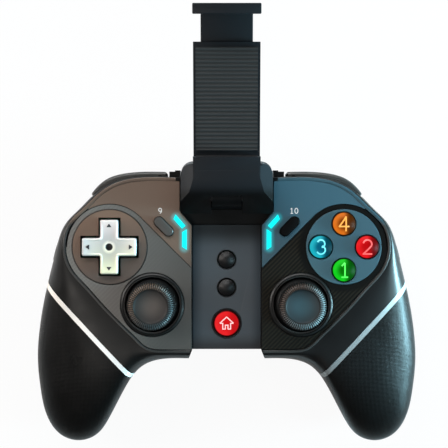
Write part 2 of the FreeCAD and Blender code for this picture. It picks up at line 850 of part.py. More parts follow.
def make_side_plate():
    """Right-hand plate round the disc and the stick."""
    low, high = deck_top, S.face_height
    area = panel_area(low, high).common(plate_area(0, low, high))
    area = area.cut([disc(S.disc_radius + S.fit_gap, S.disc_x, S.disc_y, low - 1, high + 1),
                     disc(S.ring_outer_radius + S.fit_gap, S.stick_x, S.stick_y, low - 1, high + 1)])
    return max(area.Solids, key=lambda solid: solid.Volume)


def bracket_screw_places():
    """Two screws each side of the knuckle."""
    x, step = float(S.bracket_screw_x), float(S.bracket_screw_step)
    return [(sign * x, float(S.hinge_y) + dy) for _, sign in SIDES for dy in (-step, step)]



# Places that the small pieces share
flange_top = deck_under - S.run_gap
flange_low = flange_top - S.flange_thickness
strip_flange_top = channel_under - S.run_gap
strip_flange_low = strip_flange_top - S.flange_thickness
face_dome_top = flange_low - S.face_button_travel - S.run_gap
capsule_dome_top = flange_low - S.small_button_travel - S.run_gap
strip_dome_top = strip_flange_low - S.small_button_travel - S.run_gap
cross_top = S.face_height + S.cross_proud
cross_low = cross_top - S.cross_thickness
dpad_pivot = cross_low - S.dpad_pivot_drop
leg_low = dpad_pivot + S.dpad_leg_end
leg_dome_top = leg_low - S.dpad_leg_gap
upright_inner = S.gimbal_radius + S.cradle_gap
upright_outer = upright_inner + S.cradle_wall
module_half = S.module_width / 2
jaw_inner = S.shelf_reach + S.jaw_opening
sleeve_back = S.phone_back - S.sleeve_thickness
cover_front = sleeve_back + S.back_cover_thickness
slide_back = cover_front + S.slide_gap
slide_front = slide_back + S.slide_thickness
half_column = S.column_width / 2
half_base = S.base_width / 2
lip_back = S.column_front - S.lip_thickness


def make_centre_strip():
    """Recessed strip with its three round holes."""
    half = S.channel_half_width - S.fit_gap
    plate = box("strip_plate", (-half, S.strip_end + S.fit_gap, channel_floor),
                (half, S.pocket_end - S.pocket_taper, strip_top))
    holes = []
    for name, radius, y in (("upper", S.menu_radius, S.upper_menu_y), ("lower", S.menu_radius, S.lower_menu_y),
                            ("home", S.home_radius, S.home_y)):
        holes.append(cylinder("strip_hole_" + name, radius + S.run_gap, S.strip_thickness + 2 * BEYOND,
                              (0, y, channel_floor - BEYOND)))
    return cut("centre_strip", plate, holes)


def cross_blocks(name, x, gap, low, high):
    """The two bars of a cross."""
    half_span = S.cross_span / 2 + gap
    half_arm = S.arm_width / 2 + gap
    y = S.disc_y
    return [box(name + "_wide", (x - half_span, y - half_arm, low), (x + half_span, y + half_arm, high)),
            box(name + "_tall", (x - half_arm, y - half_span, low), (x + half_arm, y + half_span, high))]


def make_dpad_disc():
    """Left disc with the cross-shaped window."""
    plate = cylinder("dpad_disc_plate", S.disc_radius - S.fit_gap / 2, S.disc_thickness,
                     (-S.disc_x, S.disc_y, deck_top))
    window = cross_blocks("dpad_window", -S.disc_x, S.cross_gap, deck_top - BEYOND,
                          deck_top + S.disc_thickness + BEYOND)
    return cut("dpad_disc", plate, window)


def make_button_disc():
    """Right disc with four button holes."""
    plate = cylinder("button_disc_plate", S.disc_radius - S.fit_gap / 2, S.disc_thickness,
                     (S.disc_x, S.disc_y, deck_top))
    holes = [cylinder("button_hole_" + word, button_hole, S.disc_thickness + 2 * BEYOND,
                      (x, y, deck_top - BEYOND))
             for word, x, y in face_button_places()]
    return cut("button_disc", plate, holes)


def make_stick_ring(side, sign):
    """Ring that frames a thumb stick."""
    top = deck_top + S.ring_thickness
    return turned(side + "_stick_ring", [
        (S.ring_inner_radius, deck_top + S.ring_bevel), (ring_seat_bore, deck_top),
        (S.ring_outer_radius, deck_top),
        (S.ring_outer_radius, top - 1.5 * S.ring_bevel), (S.ring_inner_radius + S.ring_bevel, top),
        (S.ring_inner_radius, top)], (sign * S.stick_x, S.stick_y, 0))


def board_line():
    """Outline of the board: its right half, drawn in from the housing's outline, and the mirror image."""
    w, top, low = S.half_width, S.top_edge, S.bottom_edge
    right = [(7, top - 4), (7, top - 8), (w - 42, top - 8), (w - 28, top - 15), (w - 19, 8), (w - 18, -6),
             (w - 34, -26), (w - 42, low + 9.3)]
    return right + [(-x, y) for x, y in reversed(right)]


def make_main_board():
    """Circuit board on the six posts, with a tongue under the charging port."""
    low = board_low
    plate = padded("board_plate", "XY_Plane", board_line(), S.board_thickness)
    place(plate, 0, 0, low)
    holes = [cylinder("board_hole_%d" % k, S.screw_radius + S.run_gap, S.board_thickness + 2 * BEYOND,
                      (x, y, low - BEYOND)) for k, (x, y) in enumerate(screw_places())]
    return cut("main_board", plate, holes)


def make_charging_port():
    """Socket shell with its contact tongue."""
    half = S.port_width / 2
    y1 = S.top_edge - 0.2
    y0 = y1 - S.port_length
    top = board_top + S.port_height
    wall = S.port_wall
    shell = box("port_shell", (-half, y0, board_top), (half, y1, top))
    inside = box("port_inside", (wall - half, y0 + 1, board_top + wall), (half - wall, y1 + 1, top - wall))
    middle = board_top + S.port_height / 2
    tongue = box("port_tongue", (-half + 1.2, y0 + 0.5, middle - 0.35), (half - 1.2, y1 - 0.8, middle + 0.35))
    return fuse("charging_port", [cut("port_hollow", shell, [inside]), tongue])


def make_stick_module(side, sign):
    """Open box on the board that carries the gimbal of a stick."""
    x, y = sign * S.stick_x, S.stick_y
    half = module_half
    inner = half - S.module_wall
    shell = box(side + "_module_shell", (x - half, y - half, board_top),
                (x + half, y + half, board_top + S.module_height))
    room = box(side + "_module_room", (x - inner, y - inner, board_top + S.module_wall),
               (x + inner, y + inner, board_top + S.module_height + 1))
    bore = cylinder(side + "_module_bore", S.trunnion_radius + S.pin_gap, S.module_width + 2,
                    (x - half - 1, y, S.stick_pivot_height), Y_AXIS, RIGHT_ANGLE)
    return cut(side + "_stick_module", shell, [room, bore])


def make_gimbal_ring(name, x, y, z, reach):
    """Ring with two trunnions along X and two cross holes along Y."""
    low = z - S.gimbal_height / 2
    ring = cylinder(name + "_ring", S.gimbal_radius, S.gimbal_height, (x, y, low))
    bore = cylinder(name + "_bore", S.gimbal_bore, S.gimbal_height + 2, (x, y, low - 1))
    holes = cylinder(name + "_pin_bore", S.cross_pin_radius + S.pin_gap, 2 * S.gimbal_radius + 2,
                     (x, y - S.gimbal_radius - 1, z), X_AXIS, -RIGHT_ANGLE)
    body = cut(name + "_body", ring, [bore, holes])
    root = S.gimbal_radius - 0.7
    trunnions = [cylinder(name + "_trunnion_a", S.trunnion_radius, reach - root, (x + root, y, z),
                          Y_AXIS, RIGHT_ANGLE),
                 cylinder(name + "_trunnion_b", S.trunnion_radius, reach - root, (x - reach, y, z),
                          Y_AXIS, RIGHT_ANGLE)]
    return fuse(name, [body] + trunnions)


def stem_pieces(name, x, y, z, top):
    """Upright stem with its cross pin along Y."""
    reach = S.gimbal_radius - 0.4
    return [cylinder(name + "_rod", S.stem_radius, top - z + 1.5, (x, y, z - 1.5)),
            cylinder(name + "_pin", S.cross_pin_radius, 2 * reach, (x, y - reach, z), X_AXIS, -RIGHT_ANGLE)]


def make_stick_cap(side, sign):
    """Thumb cap over a round dome that closes the hole while the stick leans."""
    zp = S.stick_pivot_height
    outer, inner = S.dome_radius, S.dome_radius - S.dome_wall
    bore = S.stem_radius + S.pin_gap

    def on_dome(radius, angle):
        turn = math.radians(angle)
        return (radius * math.sin(turn), zp + radius * math.cos(turn))

    corners = [(bore, zp + S.cap_boss_rise), (S.cap_boss_radius, zp + S.cap_boss_rise)]
    corners += [on_dome(inner, angle) for angle in (17, 30, 45, 60, 72, 84)]
    corners += [on_dome(outer, angle) for angle in (84, 72, 60, 48, 37, 27)]
    neck = outer * math.sin(math.radians(27))
    top = S.cap_top_height
    dish = top - S.cap_dish_depth
    corners += [(neck, S.cap_rim_height - 0.5), (S.cap_radius - 0.5, S.cap_rim_height),
                (S.cap_radius, S.cap_rim_height + 0.6), (S.cap_radius, top - 0.9),
                (S.cap_radius - 0.8, top), (S.cap_dish_radius, top), (S.cap_dish_radius * 0.7, dish + 0.5),
                (0, dish), (0, dish - S.cap_crown), (bore, dish - S.cap_crown)]
    return turned(side + "_stick_cap", corners, (sign * S.stick_x, S.stick_y, 0))


def make_dpad_bracket():
    """Upright cradle under the direction pad."""
    x, y = -S.disc_x, S.disc_y
    half = S.cradle_depth / 2
    slim = S.cradle_depth / 4
    plate = box("cradle_plate", (x - upright_outer, y - half, board_top),
                (x + upright_outer, y + half, board_top + S.module_wall))
    top = dpad_pivot + S.trunnion_radius + S.module_wall
    walls = [box("cradle_wall_a", (x - upright_outer, y - slim, board_top), (x - upright_inner, y + slim, top)),
             box("cradle_wall_b", (x + upright_inner, y - slim, board_top), (x + upright_outer, y + slim, top))]
    bore = cylinder("cradle_bore", S.trunnion_radius + S.pin_gap, 2 * upright_outer + 2,
                    (x - upright_outer - 1, y, dpad_pivot), Y_AXIS, RIGHT_ANGLE)
    return cut("dpad_cradle", fuse("cradle_form", [plate] + walls), [bore])


def make_dpad_cross():
    """Metal cross with its stem and four feet."""
    x, y = -S.disc_x, S.disc_y
    bars = fuse("cross_bars", cross_blocks("cross_bar", x, 0, cross_low, cross_top))
    dimple = cylinder("cross_dimple", S.dimple_radius, BEYOND, (x, y, cross_top - BEYOND / 2))
    pieces = [cut("cross_plate", bars, [dimple])]
    pieces += stem_pieces("cross_stem", x, y, dpad_pivot, cross_low + 0.5)
    for k, (dx, dy) in enumerate(((1, 0), (0, 1), (-1, 0), (0, -1))):
        at = (x + dx * S.dpad_leg_reach, y + dy * S.dpad_leg_reach, leg_low)
        pieces.append(cylinder("cross_foot_%d" % k, S.dpad_leg_radius, cross_low + 0.5 - leg_low, at))
    return fuse("dpad_cross", pieces)


def make_round_button(name, radius, x, y, hidden_low, hidden_top, top):
    """Domed round button with the flange that keeps it under the cover."""
    return turned(name, [
        (0, hidden_low), (radius + S.flange_width, hidden_low), (radius + S.flange_width, hidden_top),
        (radius, hidden_top), (radius, top - 2.2 * S.button_edge),
        (radius - S.button_edge, top - S.button_edge),
        (radius * 0.55, top - S.button_edge / 4),
        (0, top)], (x, y, 0))


def make_capsule_button(name, sign):
    """Slanting bar button with round ends and its flange."""
    x, y = sign * float(S.capsule_x), S.capsule_y
    grown = 2 * float(S.flange_width)
    stalk = capsule(S.capsule_length, S.capsule_width, x, y, sign * DIAGONAL, flange_low,
                    S.face_height + S.small_button_proud)
    flange = capsule(S.capsule_length + grown, S.capsule_width + grown, x, y, sign * DIAGONAL,
                     flange_low, flange_top)
    return feature(name, stalk.fuse(flange).removeSplitter())


def make_rubber_domes():
    """Soft domes on the board that push every button back up."""
    domes = []
    places = [("face_" + word, x, y, face_dome_top, S.face_dome_radius) for word, x, y in face_button_places()]
    for k, (dx, dy) in enumerate(((1, 0), (0, 1), (-1, 0), (0, -1))):
        places.append(("cross_%d" % k, -S.disc_x + dx * S.dpad_leg_reach, S.disc_y + dy * S.dpad_leg_reach,
                       leg_dome_top, S.leg_dome_radius))
    for side, sign in SIDES:
        places.append(("capsule_" + side, sign * S.capsule_x, S.capsule_y, capsule_dome_top,
                       S.capsule_dome_radius))
    for word, y in (("upper", S.upper_menu_y), ("lower", S.lower_menu_y), ("home", S.home_y)):
        places.append(("menu_" + word, 0, y, strip_dome_top, S.menu_dome_radius))
    for word, x, y, top, radius in places:
        domes.append(cone("dome_" + word, radius, radius * 0.7, top - board_top, (x, y, board_top)))
    return group("rubber_domes", domes)


def make_screw(name, x, y, seat, length, head_radius, head_height):
    """Screw from below, its head under the seat."""
    shank = cylinder(name + "_shank", S.screw_radius, length, (x, y, seat))
    head = cylinder(name + "_head", head_radius, head_height, (x, y, seat - head_height))
    return fuse(name, [shank, head])


def make_bumper():
    """Right bumper with the hole for its pin."""
    band = shoulder_band(S.bumper_proud, S.bumper_depth, (0, 0), S.bumper_low, S.bumper_high)
    return band.cut(disc(S.bumper_pin_radius + S.pin_gap, bumper_pin_x, bumper_pin_y, 0, S.face_height))


def make_trigger():
    """Right trigger with the holes for its two pins."""
    band = trigger_band(0, S.trigger_depth, 0, S.trigger_low, S.trigger_high)
    return band.cut(trigger_pin_shapes(S.trigger_pin_radius + S.pin_gap, S.trigger_pin_hold + 0.4,
                                       S.seat_wall))


def holder_place(obj):
    """The holder's own frame: Y along the arm, Z out of its face, turned up by its tilt."""
    return place(obj, 0, S.hinge_y, S.hinge_height, X_AXIS, S.holder_tilt)


def holder_block(name, low, high):
    """A plain block of the holder, between two corners of the holder's own frame."""
    return holder_place(group(name, [box(name + "_block", low, high)]))


def on_barrel(angle):
    """A point of the barrel's round outline."""
    turn = math.radians(angle)
    return (S.barrel_radius * math.cos(turn), S.barrel_radius * math.sin(turn))


def beyond_plane(a, b, c):
    """All that lies on the outer side of the plane through three points, for cutting."""
    out = (b - a).cross(c - a).normalize()
    along = (b - a).normalize() * SPREAD
    across = out.cross(along)
    corners = [a - along - across, a + along - across, a + along + across, a - along + across]
    return Part.Face(Part.makePolygon(corners + corners[:1])).extrude(out * SPREAD)


def foot_facets():
    """What the foot loses beside the column, so that the column widens towards the hinge."""
    front = on_barrel(67)[1]
    toe = on_barrel(float(S.facet_toe_angle))
    a = Vector(float(half_column), float(S.facet_start), front)
    b = Vector(float(half_base) - float(S.facet_toe_inset), toe[0], toe[1])
    c = Vector(float(half_base), float(S.facet_start), front - float(S.facet_depth))
    right, left = both_sides(beyond_plane(a, b, c))
    return feature("foot_facets", right.fuse(left))


def foot_corners():
    """What rounds the two far corners of the foot."""
    radius, reach = S.foot_corner_radius, S.barrel_radius + BEYOND
    corners = []
    for side, sign in SIDES:
        x = sign * (half_base - radius)
        y = S.base_length - radius
        edge = sign * (half_base + BEYOND)
        block_low, block_high = (x, edge) if sign > 0 else (edge, x)
        square = box("foot_square_" + side, (block_low, y, -reach), (block_high, y + radius + BEYOND, reach))
        turn = cylinder("foot_round_" + side, radius, 2 * reach, (x, y, -reach))
        corners.append(cut("foot_corner_" + side, square, [turn]))
    return corners


def make_holder_base():
    """Hinged base: wide foot, column with the lower jaw, and the sleeve behind the phone."""
    foot = padded("foot_block", "YZ_Plane", [
        on_barrel(175), on_barrel(67), (S.base_length - S.base_chamfer, on_barrel(67)[1]),
        (S.base_length, S.column_front - S.base_chamfer), (S.base_length, S.phone_back - 2), on_barrel(-65),
        on_barrel(-115), on_barrel(-155)], S.base_width)
    place(foot, -half_base)
    foot = cut("foot", foot, foot_corners() + [foot_facets()])
    column = box("column", (-half_column, S.column_start, S.phone_back),
                 (half_column, S.shelf_reach, S.column_front))
    lip = box("shelf_lip", (-half_column, S.shelf_reach - BEYOND, lip_back),
              (half_column, S.shelf_reach + S.lip_overlap, S.column_front))
    sleeve = box("sleeve", (-half_column, S.sleeve_start, cover_front),
                 (half_column, S.sleeve_end, S.phone_back))
    half_slot = S.slide_width / 2 + S.slide_gap
    slot = box("sleeve_slot", (-half_slot, S.sleeve_start + S.seat_wall, cover_front - BEYOND),
               (half_slot, S.sleeve_end + BEYOND, slide_front + S.slide_gap))
    knuckle_half = S.knuckle_half_width + S.run_gap
    room = cylinder("knuckle_room", S.knuckle_radius + S.run_gap, 2 * knuckle_half, (-knuckle_half, 0, 0),
                    Y_AXIS, RIGHT_ANGLE)
    sweep = padded("web_room", "YZ_Plane", [(0, 0), (5.2, -9), (-9, -9), (-9, 9), (1.1, 9)], 2 * knuckle_half)
    place(sweep, -knuckle_half)
    half_pin = half_base - BEYOND
    pin_bore = cylinder("pin_room", S.hinge_pin_radius + S.pin_gap, 2 * half_pin, (-half_pin, 0, 0),
                        Y_AXIS, RIGHT_ANGLE)
    form = fuse("base_form", [foot, column, lip, sleeve])
    return holder_place(cut("holder_base", form, [slot, room, sweep, pin_bore]))


def make_holder_bracket():
    """Foot in the pocket with the knuckle that carries the hinge pin."""
    y, z = S.hinge_y, S.hinge_height
    half = S.knuckle_half_width
    wide, deep, slim = S.bracket_half_width, S.bracket_half_depth, S.bracket_web_depth / 2
    plate = box("bracket_plate", (-wide, y - deep, channel_floor),
                (wide, y + deep, channel_floor + S.bracket_thickness))
    web = box("bracket_web", (-half, y - slim, channel_floor), (half, y + slim, z))
    knuckle = cylinder("bracket_knuckle", S.knuckle_radius, 2 * half, (-half, y, z), Y_AXIS, RIGHT_ANGLE)
    bore = cylinder("bracket_bore", S.hinge_pin_radius + S.press_gap, 2 * half + 2 * BEYOND,
                    (-half - BEYOND, y, z), Y_AXIS, RIGHT_ANGLE)
    holes = [cylinder("bracket_hole_%d" % k, S.screw_radius + S.press_gap, S.bracket_thickness + 2 * BEYOND,
                      (x, yy, channel_floor - BEYOND))
             for k, (x, yy) in enumerate(bracket_screw_places())]
    return cut("holder_bracket", fuse("bracket_form", [plate, web, knuckle]), [bore] + holes)


def make_jaw_slide():
    """Upper jaw on its flat slide."""
    half_slide = S.slide_width / 2
    plate = box("slide_plate", (-half_slide, S.slide_start, slide_back),
                (half_slide, jaw_inner + BEYOND, slide_front))
    head = box("jaw_head", (-half_column, jaw_inner, sleeve_back),
               (half_column, jaw_inner + S.jaw_thickness, S.column_front))
    lip = box("jaw_lip", (-half_column, jaw_inner - S.lip_overlap, lip_back),
              (half_column, jaw_inner + BEYOND, S.column_front))
    return holder_place(fuse("jaw_slide", [plate, head, lip]))


def make_pads():
    """Rubber faces of the two jaws and of the sleeve."""
    half = half_column - S.pad_margin / 2
    low, high = S.phone_back + S.fit_gap, lip_back - S.fit_gap
    shelf = holder_block("shelf_pad", (-half, S.shelf_reach, low),
                         (half, S.shelf_reach + S.pad_thickness, high))
    jaw = holder_block("jaw_pad", (-half, jaw_inner - S.pad_thickness, low), (half, jaw_inner, high))
    back = holder_block("holder_back_pad", (-half, S.shelf_reach + 1.5 * S.pad_margin, S.phone_back),
                        (half, S.sleeve_end - S.pad_margin, S.phone_back + S.pad_thickness))
    return [shelf, jaw, back]


def make_holder_springs():
    """Two long springs that pull the jaw shut."""
    middle = (slide_back + slide_front) / 2
    start = S.sleeve_start + S.seat_wall
    springs = [cylinder("jaw_spring_" + side, S.spring_radius, S.slide_start - start,
                        (sign * S.spring_x, start, middle), X_AXIS, -RIGHT_ANGLE) for side, sign in SIDES]
    return holder_place(group("holder_springs", springs))


node("front_housing", feature("front_housing", make_front_housing()))
node("rear_housing", feature("rear_housing", make_rear_housing()))
body_form = hollow_body()
for side, sign in SIDES:
    half_trim = float(S.trim_width) / 2
    node(side + "_grip", feature(side + "_grip", body_form.common(beyond_trim(sign, half_trim))))
    node(side + "_trim", feature(side + "_trim", body_form.common(
        beyond_trim(sign, -half_trim, 2 * half_trim))))
for label, maker in (("top_panel", make_top_panel), ("side_plate", make_side_plate)):
    right = maker()
    node("left_" + label, feature("left_" + label, mirrored(right)))
    node("right_" + label, feature("right_" + label, right))
node("centre_strip", make_centre_strip())
node("dpad_disc", make_dpad_disc())
node("button_disc", make_button_disc())
lights = light_shapes(0, deck_top, S.face_height + 0.05)
node("light_guides", feature("light_guides", Part.makeCompound(
    [shape for light in lights for shape in both_sides(light)])))
node("main_board", make_main_board())
node("battery", box("battery", (-S.battery_length / 2, -S.battery_width / 2, S.shell_wall),
                    (S.battery_length / 2, S.battery_width / 2, S.shell_wall + S.battery_height)))
node("charging_port", make_charging_port())
node("rubber_domes", make_rubber_domes())
node("shoulder_switches", feature("shoulder_switches", Part.makeCompound(both_sides(shoulder_switch(0, 0)))))
node("bumper_pins", group("bumper_pins", [
    cylinder("bumper_pin_" + side, S.bumper_pin_radius,
             S.bumper_high - S.bumper_low + 2 * (S.bumper_pin_reach - S.pin_gap),
             (sign * bumper_pin_x, bumper_pin_y, S.bumper_low - S.bumper_pin_reach + S.pin_gap))
    for side, sign in SIDES]))
node("trigger_pins", feature("trigger_pins", Part.makeCompound(
    [pin for shape in trigger_pin_shapes(S.trigger_pin_radius, S.trigger_pin_hold,
                                         trigger_end_reach - S.seat_wall / 5)
     for pin in both_sides(shape)])))
node("housing_screws", group("housing_screws", [
    make_screw("housing_screw_%d" % k, x, y, S.screw_seat_height, S.screw_length, S.screw_head_radius,
               S.screw_head_height) for k, (x, y) in enumerate(screw_places())]))
node("bracket_screws", group("bracket_screws", [
    make_screw("bracket_screw_%d" % k, x, y, channel_under, S.deck_thickness + S.bracket_thickness - 0.1,
               S.screw_head_radius, S.bracket_head_height)
    for k, (x, y) in enumerate(bracket_screw_places())]))
node("dpad_cradle", make_dpad_bracket())
node("dpad_carrier", make_gimbal_ring("dpad_carrier", -S.disc_x, S.disc_y, dpad_pivot,
                                      upright_outer + 0.2))
node("dpad_cross", make_dpad_cross())
for word, x, y in face_button_places():
    node("face_button_" + word, make_round_button("face_button_" + word, S.face_button_radius, x, y, flange_low,
                                                  flange_top, S.face_height + S.face_button_proud))
node("select_button", make_capsule_button("select_button", -1))
node("start_button", make_capsule_button("start_button", 1))
for label, y in (("upper_menu_button", S.upper_menu_y), ("lower_menu_button", S.lower_menu_y)):
    node(label, make_round_button(label, S.menu_radius, 0, y, strip_flange_low, strip_flange_top,
                                  strip_top + S.small_button_proud))
node("home_button", make_round_button("home_button", S.home_radius, 0, S.home_y, strip_flange_low,
                                      strip_flange_top, strip_top + S.small_button_proud))
for side, sign in SIDES:
    node(side + "_stick_ring", make_stick_ring(side, sign))
    node(side + "_stick_module", make_stick_module(side, sign))
    node(side + "_stick_rocker", make_gimbal_ring(side + "_stick_rocker", sign * S.stick_x, S.stick_y,
                                                  S.stick_pivot_height, module_half - 0.05))
    node(side + "_stick_stem", fuse(side + "_stick_stem", stem_pieces(
        side + "_stem", sign * S.stick_x, S.stick_y, S.stick_pivot_height, S.cap_top_height - 4.0)))
    node(side + "_stick_cap", make_stick_cap(side, sign))
for label, maker in (("bumper", make_bumper), ("trigger", make_trigger)):
    right = maker()
    node("left_" + label, feature("left_" + label, mirrored(right)))
    node("right_" + label, feature("right_" + label, right))
node("holder_bracket", make_holder_bracket())
half_pin_length = half_base - 1.2
node("holder_hinge_pin", cylinder("holder_hinge_pin", S.hinge_pin_radius, 2 * half_pin_length,
                                  (-half_pin_length, S.hinge_y, S.hinge_height), Y_AXIS, RIGHT_ANGLE))
node("holder_base", make_holder_base())
node("holder_back_cover", holder_block("holder_back_cover", (-half_column, S.sleeve_start, sleeve_back),
                                       (half_column, S.sleeve_end, cover_front)))
node("jaw_slide", make_jaw_slide())
for label, pad in zip(("shelf_pad", "jaw_pad", "holder_back_pad"), make_pads()):
    node(label, pad)
node("holder_springs", make_holder_springs())

doc.recompute()
for obj in doc.Objects:
    if "Invalid" in obj.State or "Error" in obj.State:
        raise RuntimeError("%s failed: %s" % (obj.Name, obj.State))
os.makedirs("parts", exist_ok=True)
for obj in nodes:
    shape = obj.Shape
    if shape.isNull() or not shape.isValid() or not shape.Solids:
        raise RuntimeError("%s has no valid solid" % obj.Label)
    print("%-20s %2d solids %9.1f mm3" % (obj.Label, len(shape.Solids), shape.Volume))
for obj in nodes:
    obj.Shape.exportStep("parts/%s.step" % obj.Label)
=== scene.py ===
"""Looks of the gamepad with its folding phone holder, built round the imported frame.

Lengths in this file are millimetres, in the frame's axes: X to the player's right, Y away from the
player, Z up through the buttons; mesh_object() turns them into metres. Only the stage, the lamps and the
camera are given in metres. What comes in pairs is made on the right and mirrored.
"""
import math

import bmesh
import bpy
import numpy as np
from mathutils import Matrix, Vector


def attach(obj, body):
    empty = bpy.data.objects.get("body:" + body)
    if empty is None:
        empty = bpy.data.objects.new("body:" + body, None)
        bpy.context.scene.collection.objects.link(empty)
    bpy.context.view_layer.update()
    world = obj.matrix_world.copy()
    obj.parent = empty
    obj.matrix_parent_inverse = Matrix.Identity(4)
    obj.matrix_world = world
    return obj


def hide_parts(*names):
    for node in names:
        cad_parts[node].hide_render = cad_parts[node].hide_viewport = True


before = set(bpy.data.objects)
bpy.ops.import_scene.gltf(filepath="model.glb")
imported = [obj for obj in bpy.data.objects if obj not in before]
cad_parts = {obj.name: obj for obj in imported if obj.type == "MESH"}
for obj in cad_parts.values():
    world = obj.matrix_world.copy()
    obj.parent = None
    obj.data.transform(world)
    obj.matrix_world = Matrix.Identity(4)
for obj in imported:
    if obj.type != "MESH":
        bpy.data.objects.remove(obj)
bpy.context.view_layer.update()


def direction(angle):
    """The unit vector in plan at an angle in degrees."""
    return np.array([math.cos(math.radians(angle)), math.sin(math.radians(angle))])


MM = 0.001
SIDES = (("left", -1), ("right", 1))
ACROSS = np.array([1.0, 0.0])
SEAM = 18.0
FACE_HEIGHT = 34.0
DISC = np.array([48.0, 5.9])
LEFT_DISC = DISC * (-1, 1)
STICK = np.array([30.5, -17.8])
STICK_PIVOT = 27.0
RIBS = 64
TRIM_POINT = np.array([57.2, -29.0])
TRIM_OUT = direction(-43.2)
TRIM_HALF = 1.0
TRIM_GAP = 0.05
BUMPER_START = 24.5
BUMPER_END = np.array([55.5, 27.0])
BUMPER_OUT = direction(48.0)[::-1] * (1, -1)
BUMPER_WINDOW = (22.0, 31.8)
BUMPER_GAP = 0.3
TRIGGER_TOP = 16.0
TRIGGER_GAP = 0.9
SKIN_THICKNESS = 0.35
SKIN_DEPTH = 0.03
# Middle, angle and half length of each light bar
LIGHT_BARS = (((17.35, 8.95), 90.0, 3.4), ((19.4, 16.2), 48.5, 2.2))
RIDGE_PITCH = 1.3
STUD = 0.55
PAD_PITCH = 1.6
# Grain: patches to a metre, and the relief's height in metres
GRAIN = 2600.0
GRAIN_HEIGHT = 0.00006


def whole_outline(right_half):
    """A closed outline from its right half and the mirror image of that."""
    right = np.array(right_half, float)
    return np.vstack([right, right[-2:0:-1] * (-1, 1)])


# The housing's three outlines, point for point, from the top middle round the right side
EDGE = whole_outline([
    (0, 35), (20, 35), (38, 35), (47.5, 33), (55.5, 27.8), (62, 21.2), (67.6, 15.2), (71, 7), (73.8, -3),
    (77, -16), (79.3, -30), (80, -42), (78.9, -54), (75.9, -66.5), (70.5, -73.8), (63, -76.4), (55, -73.8),
    (49.9, -67.1), (42.7, -53.5), (35.5, -44.6), (26, -41.4), (13, -41.3), (0, -41.3)])
FACE = whole_outline([
    (0, 34.3), (20, 34.3), (36, 34.3), (45.5, 32.2), (52.5, 28), (58.5, 22.2), (64, 16.8), (67, 9.5),
    (66.4, 0), (63.5, -5.5), (59, -10.5), (54.5, -15.5), (50, -20.5), (47, -23.6), (44.2, -26.4),
    (42, -28.6), (40, -30.5), (38, -32.5), (35.6, -34.9), (32.5, -36.8), (26.5, -37.6), (14, -37.7),
    (0, -37.7)])
BACK = whole_outline([
    (0, 25), (17, 25), (31, 24.5), (38, 22), (44.5, 17.5), (50.5, 12), (55, 6), (57.5, 0), (59.5, -7),
    (62.5, -18), (65.5, -30), (67, -42), (66.5, -51), (65.2, -57.5), (63.5, -60.7), (61.5, -61.6),
    (59, -60.2), (56, -55), (49.5, -42.5), (42.5, -35), (30, -31), (14, -30.5), (0, -30.5)])
TRIGGER_LINE = np.array([(46, 33), (55, 26.8), (61, 22), (65.6, 18.2), (69.9, 13), (72.8, 6.4), (74.7, -0.8)],
                        float)


# Curves and surfaces

def through(points, u):
    """Points of the smooth closed cubic through points, read at u, where whole numbers are the points.

    The slopes solve the usual spline equations with chord lengths as the parameter; each stretch is the
    Hermite cubic of its two ends.
    """
    count = len(points)
    ahead = np.roll(points, -1, axis=0)
    span = np.linalg.norm(ahead - points, axis=1)
    before = np.roll(span, 1)
    rows = np.arange(count)
    matrix = np.zeros((count, count))
    matrix[rows, rows] = 2 * (before + span)
    matrix[rows, rows - 1] = span
    matrix[rows, (rows + 1) % count] = before
    rise = (ahead - points) / span[:, None]
    slopes = np.linalg.solve(matrix, 3 * (span[:, None] * np.roll(rise, 1, axis=0) + before[:, None] * rise))
    u = np.asarray(u, float)
    first = np.floor(u).astype(int) % count
    second = (first + 1) % count
    part = (u - np.floor(u))[:, None]
    length = span[first][:, None]
    rest = 1 - part
    return ((1 + 2 * part) * rest ** 2 * points[first] + part ** 2 * (3 - 2 * part) * points[second]
            + part * rest ** 2 * length * slopes[first] - part ** 2 * rest * length * slopes[second])


def reach_along(points):
    """How far along a line of straight stretches each of its points is."""
    return np.concatenate([[0], np.cumsum(np.linalg.norm(np.diff(points, axis=0), axis=1))])


def line_at(points, places):
    """Points of a line of straight stretches at distances along it."""
    reach = reach_along(points)
    return np.stack([np.interp(places, reach, values) for values in points.T], axis=1)


def smooth_line(points, count):
    """count points, evenly spaced, on a smooth open line through points: Catmull-Rom stretches."""
    ends = np.vstack([2 * points[0] - points[1], points, 2 * points[-1] - points[-2]])
    u = np.linspace(0, len(points) - 1, 16 * len(points))
    k = np.minimum(u.astype(int), len(points) - 2)
    t = (u - k)[:, None]
    a, b, c, d = (ends[k + shift] for shift in range(4))
    line = 0.5 * (2 * b + (c - a) * t + (2 * a - 5 * b + 4 * c - d) * t ** 2
                  + (3 * b - a - 3 * c + d) * t ** 3)
    return line_at(line, np.linspace(0, reach_along(line)[-1], count))


def lifted(flat, height):
    """Plan points at a height, which is one for all or one for each."""
    return np.column_stack([flat, np.broadcast_to(height, len(flat))])


def quarter_turns(points):
    """Plan points turned about the origin by none, one, two and three quarters."""
    return [points @ np.array([direction(angle), direction(angle + 90)]) for angle in (0, 90, 180, 270)]


def left_of(line):
    """Unit vectors square to a plan line, to its left, at each of its points."""
    along = np.gradient(line, axis=0)
    along /= np.maximum(np.linalg.norm(along, axis=1, keepdims=True), 1e-9)
    return np.column_stack([-along[:, 1], along[:, 0]])


def stepped(stops, counts):
    """Values from stop to stop, evenly spaced on each stretch; a count takes in both ends of its stretch."""
    spans = [np.linspace(*span) for span in zip(stops, stops[1:], counts)]
    return np.concatenate(spans[:1] + [span[1:] for span in spans[1:]])


def stretch(counts, index):
    """The faces of a stepped run that lie on one of its stretches."""
    ends = np.concatenate([[0], np.cumsum(np.array(counts) - 1)])
    return slice(ends[index], ends[index + 1])


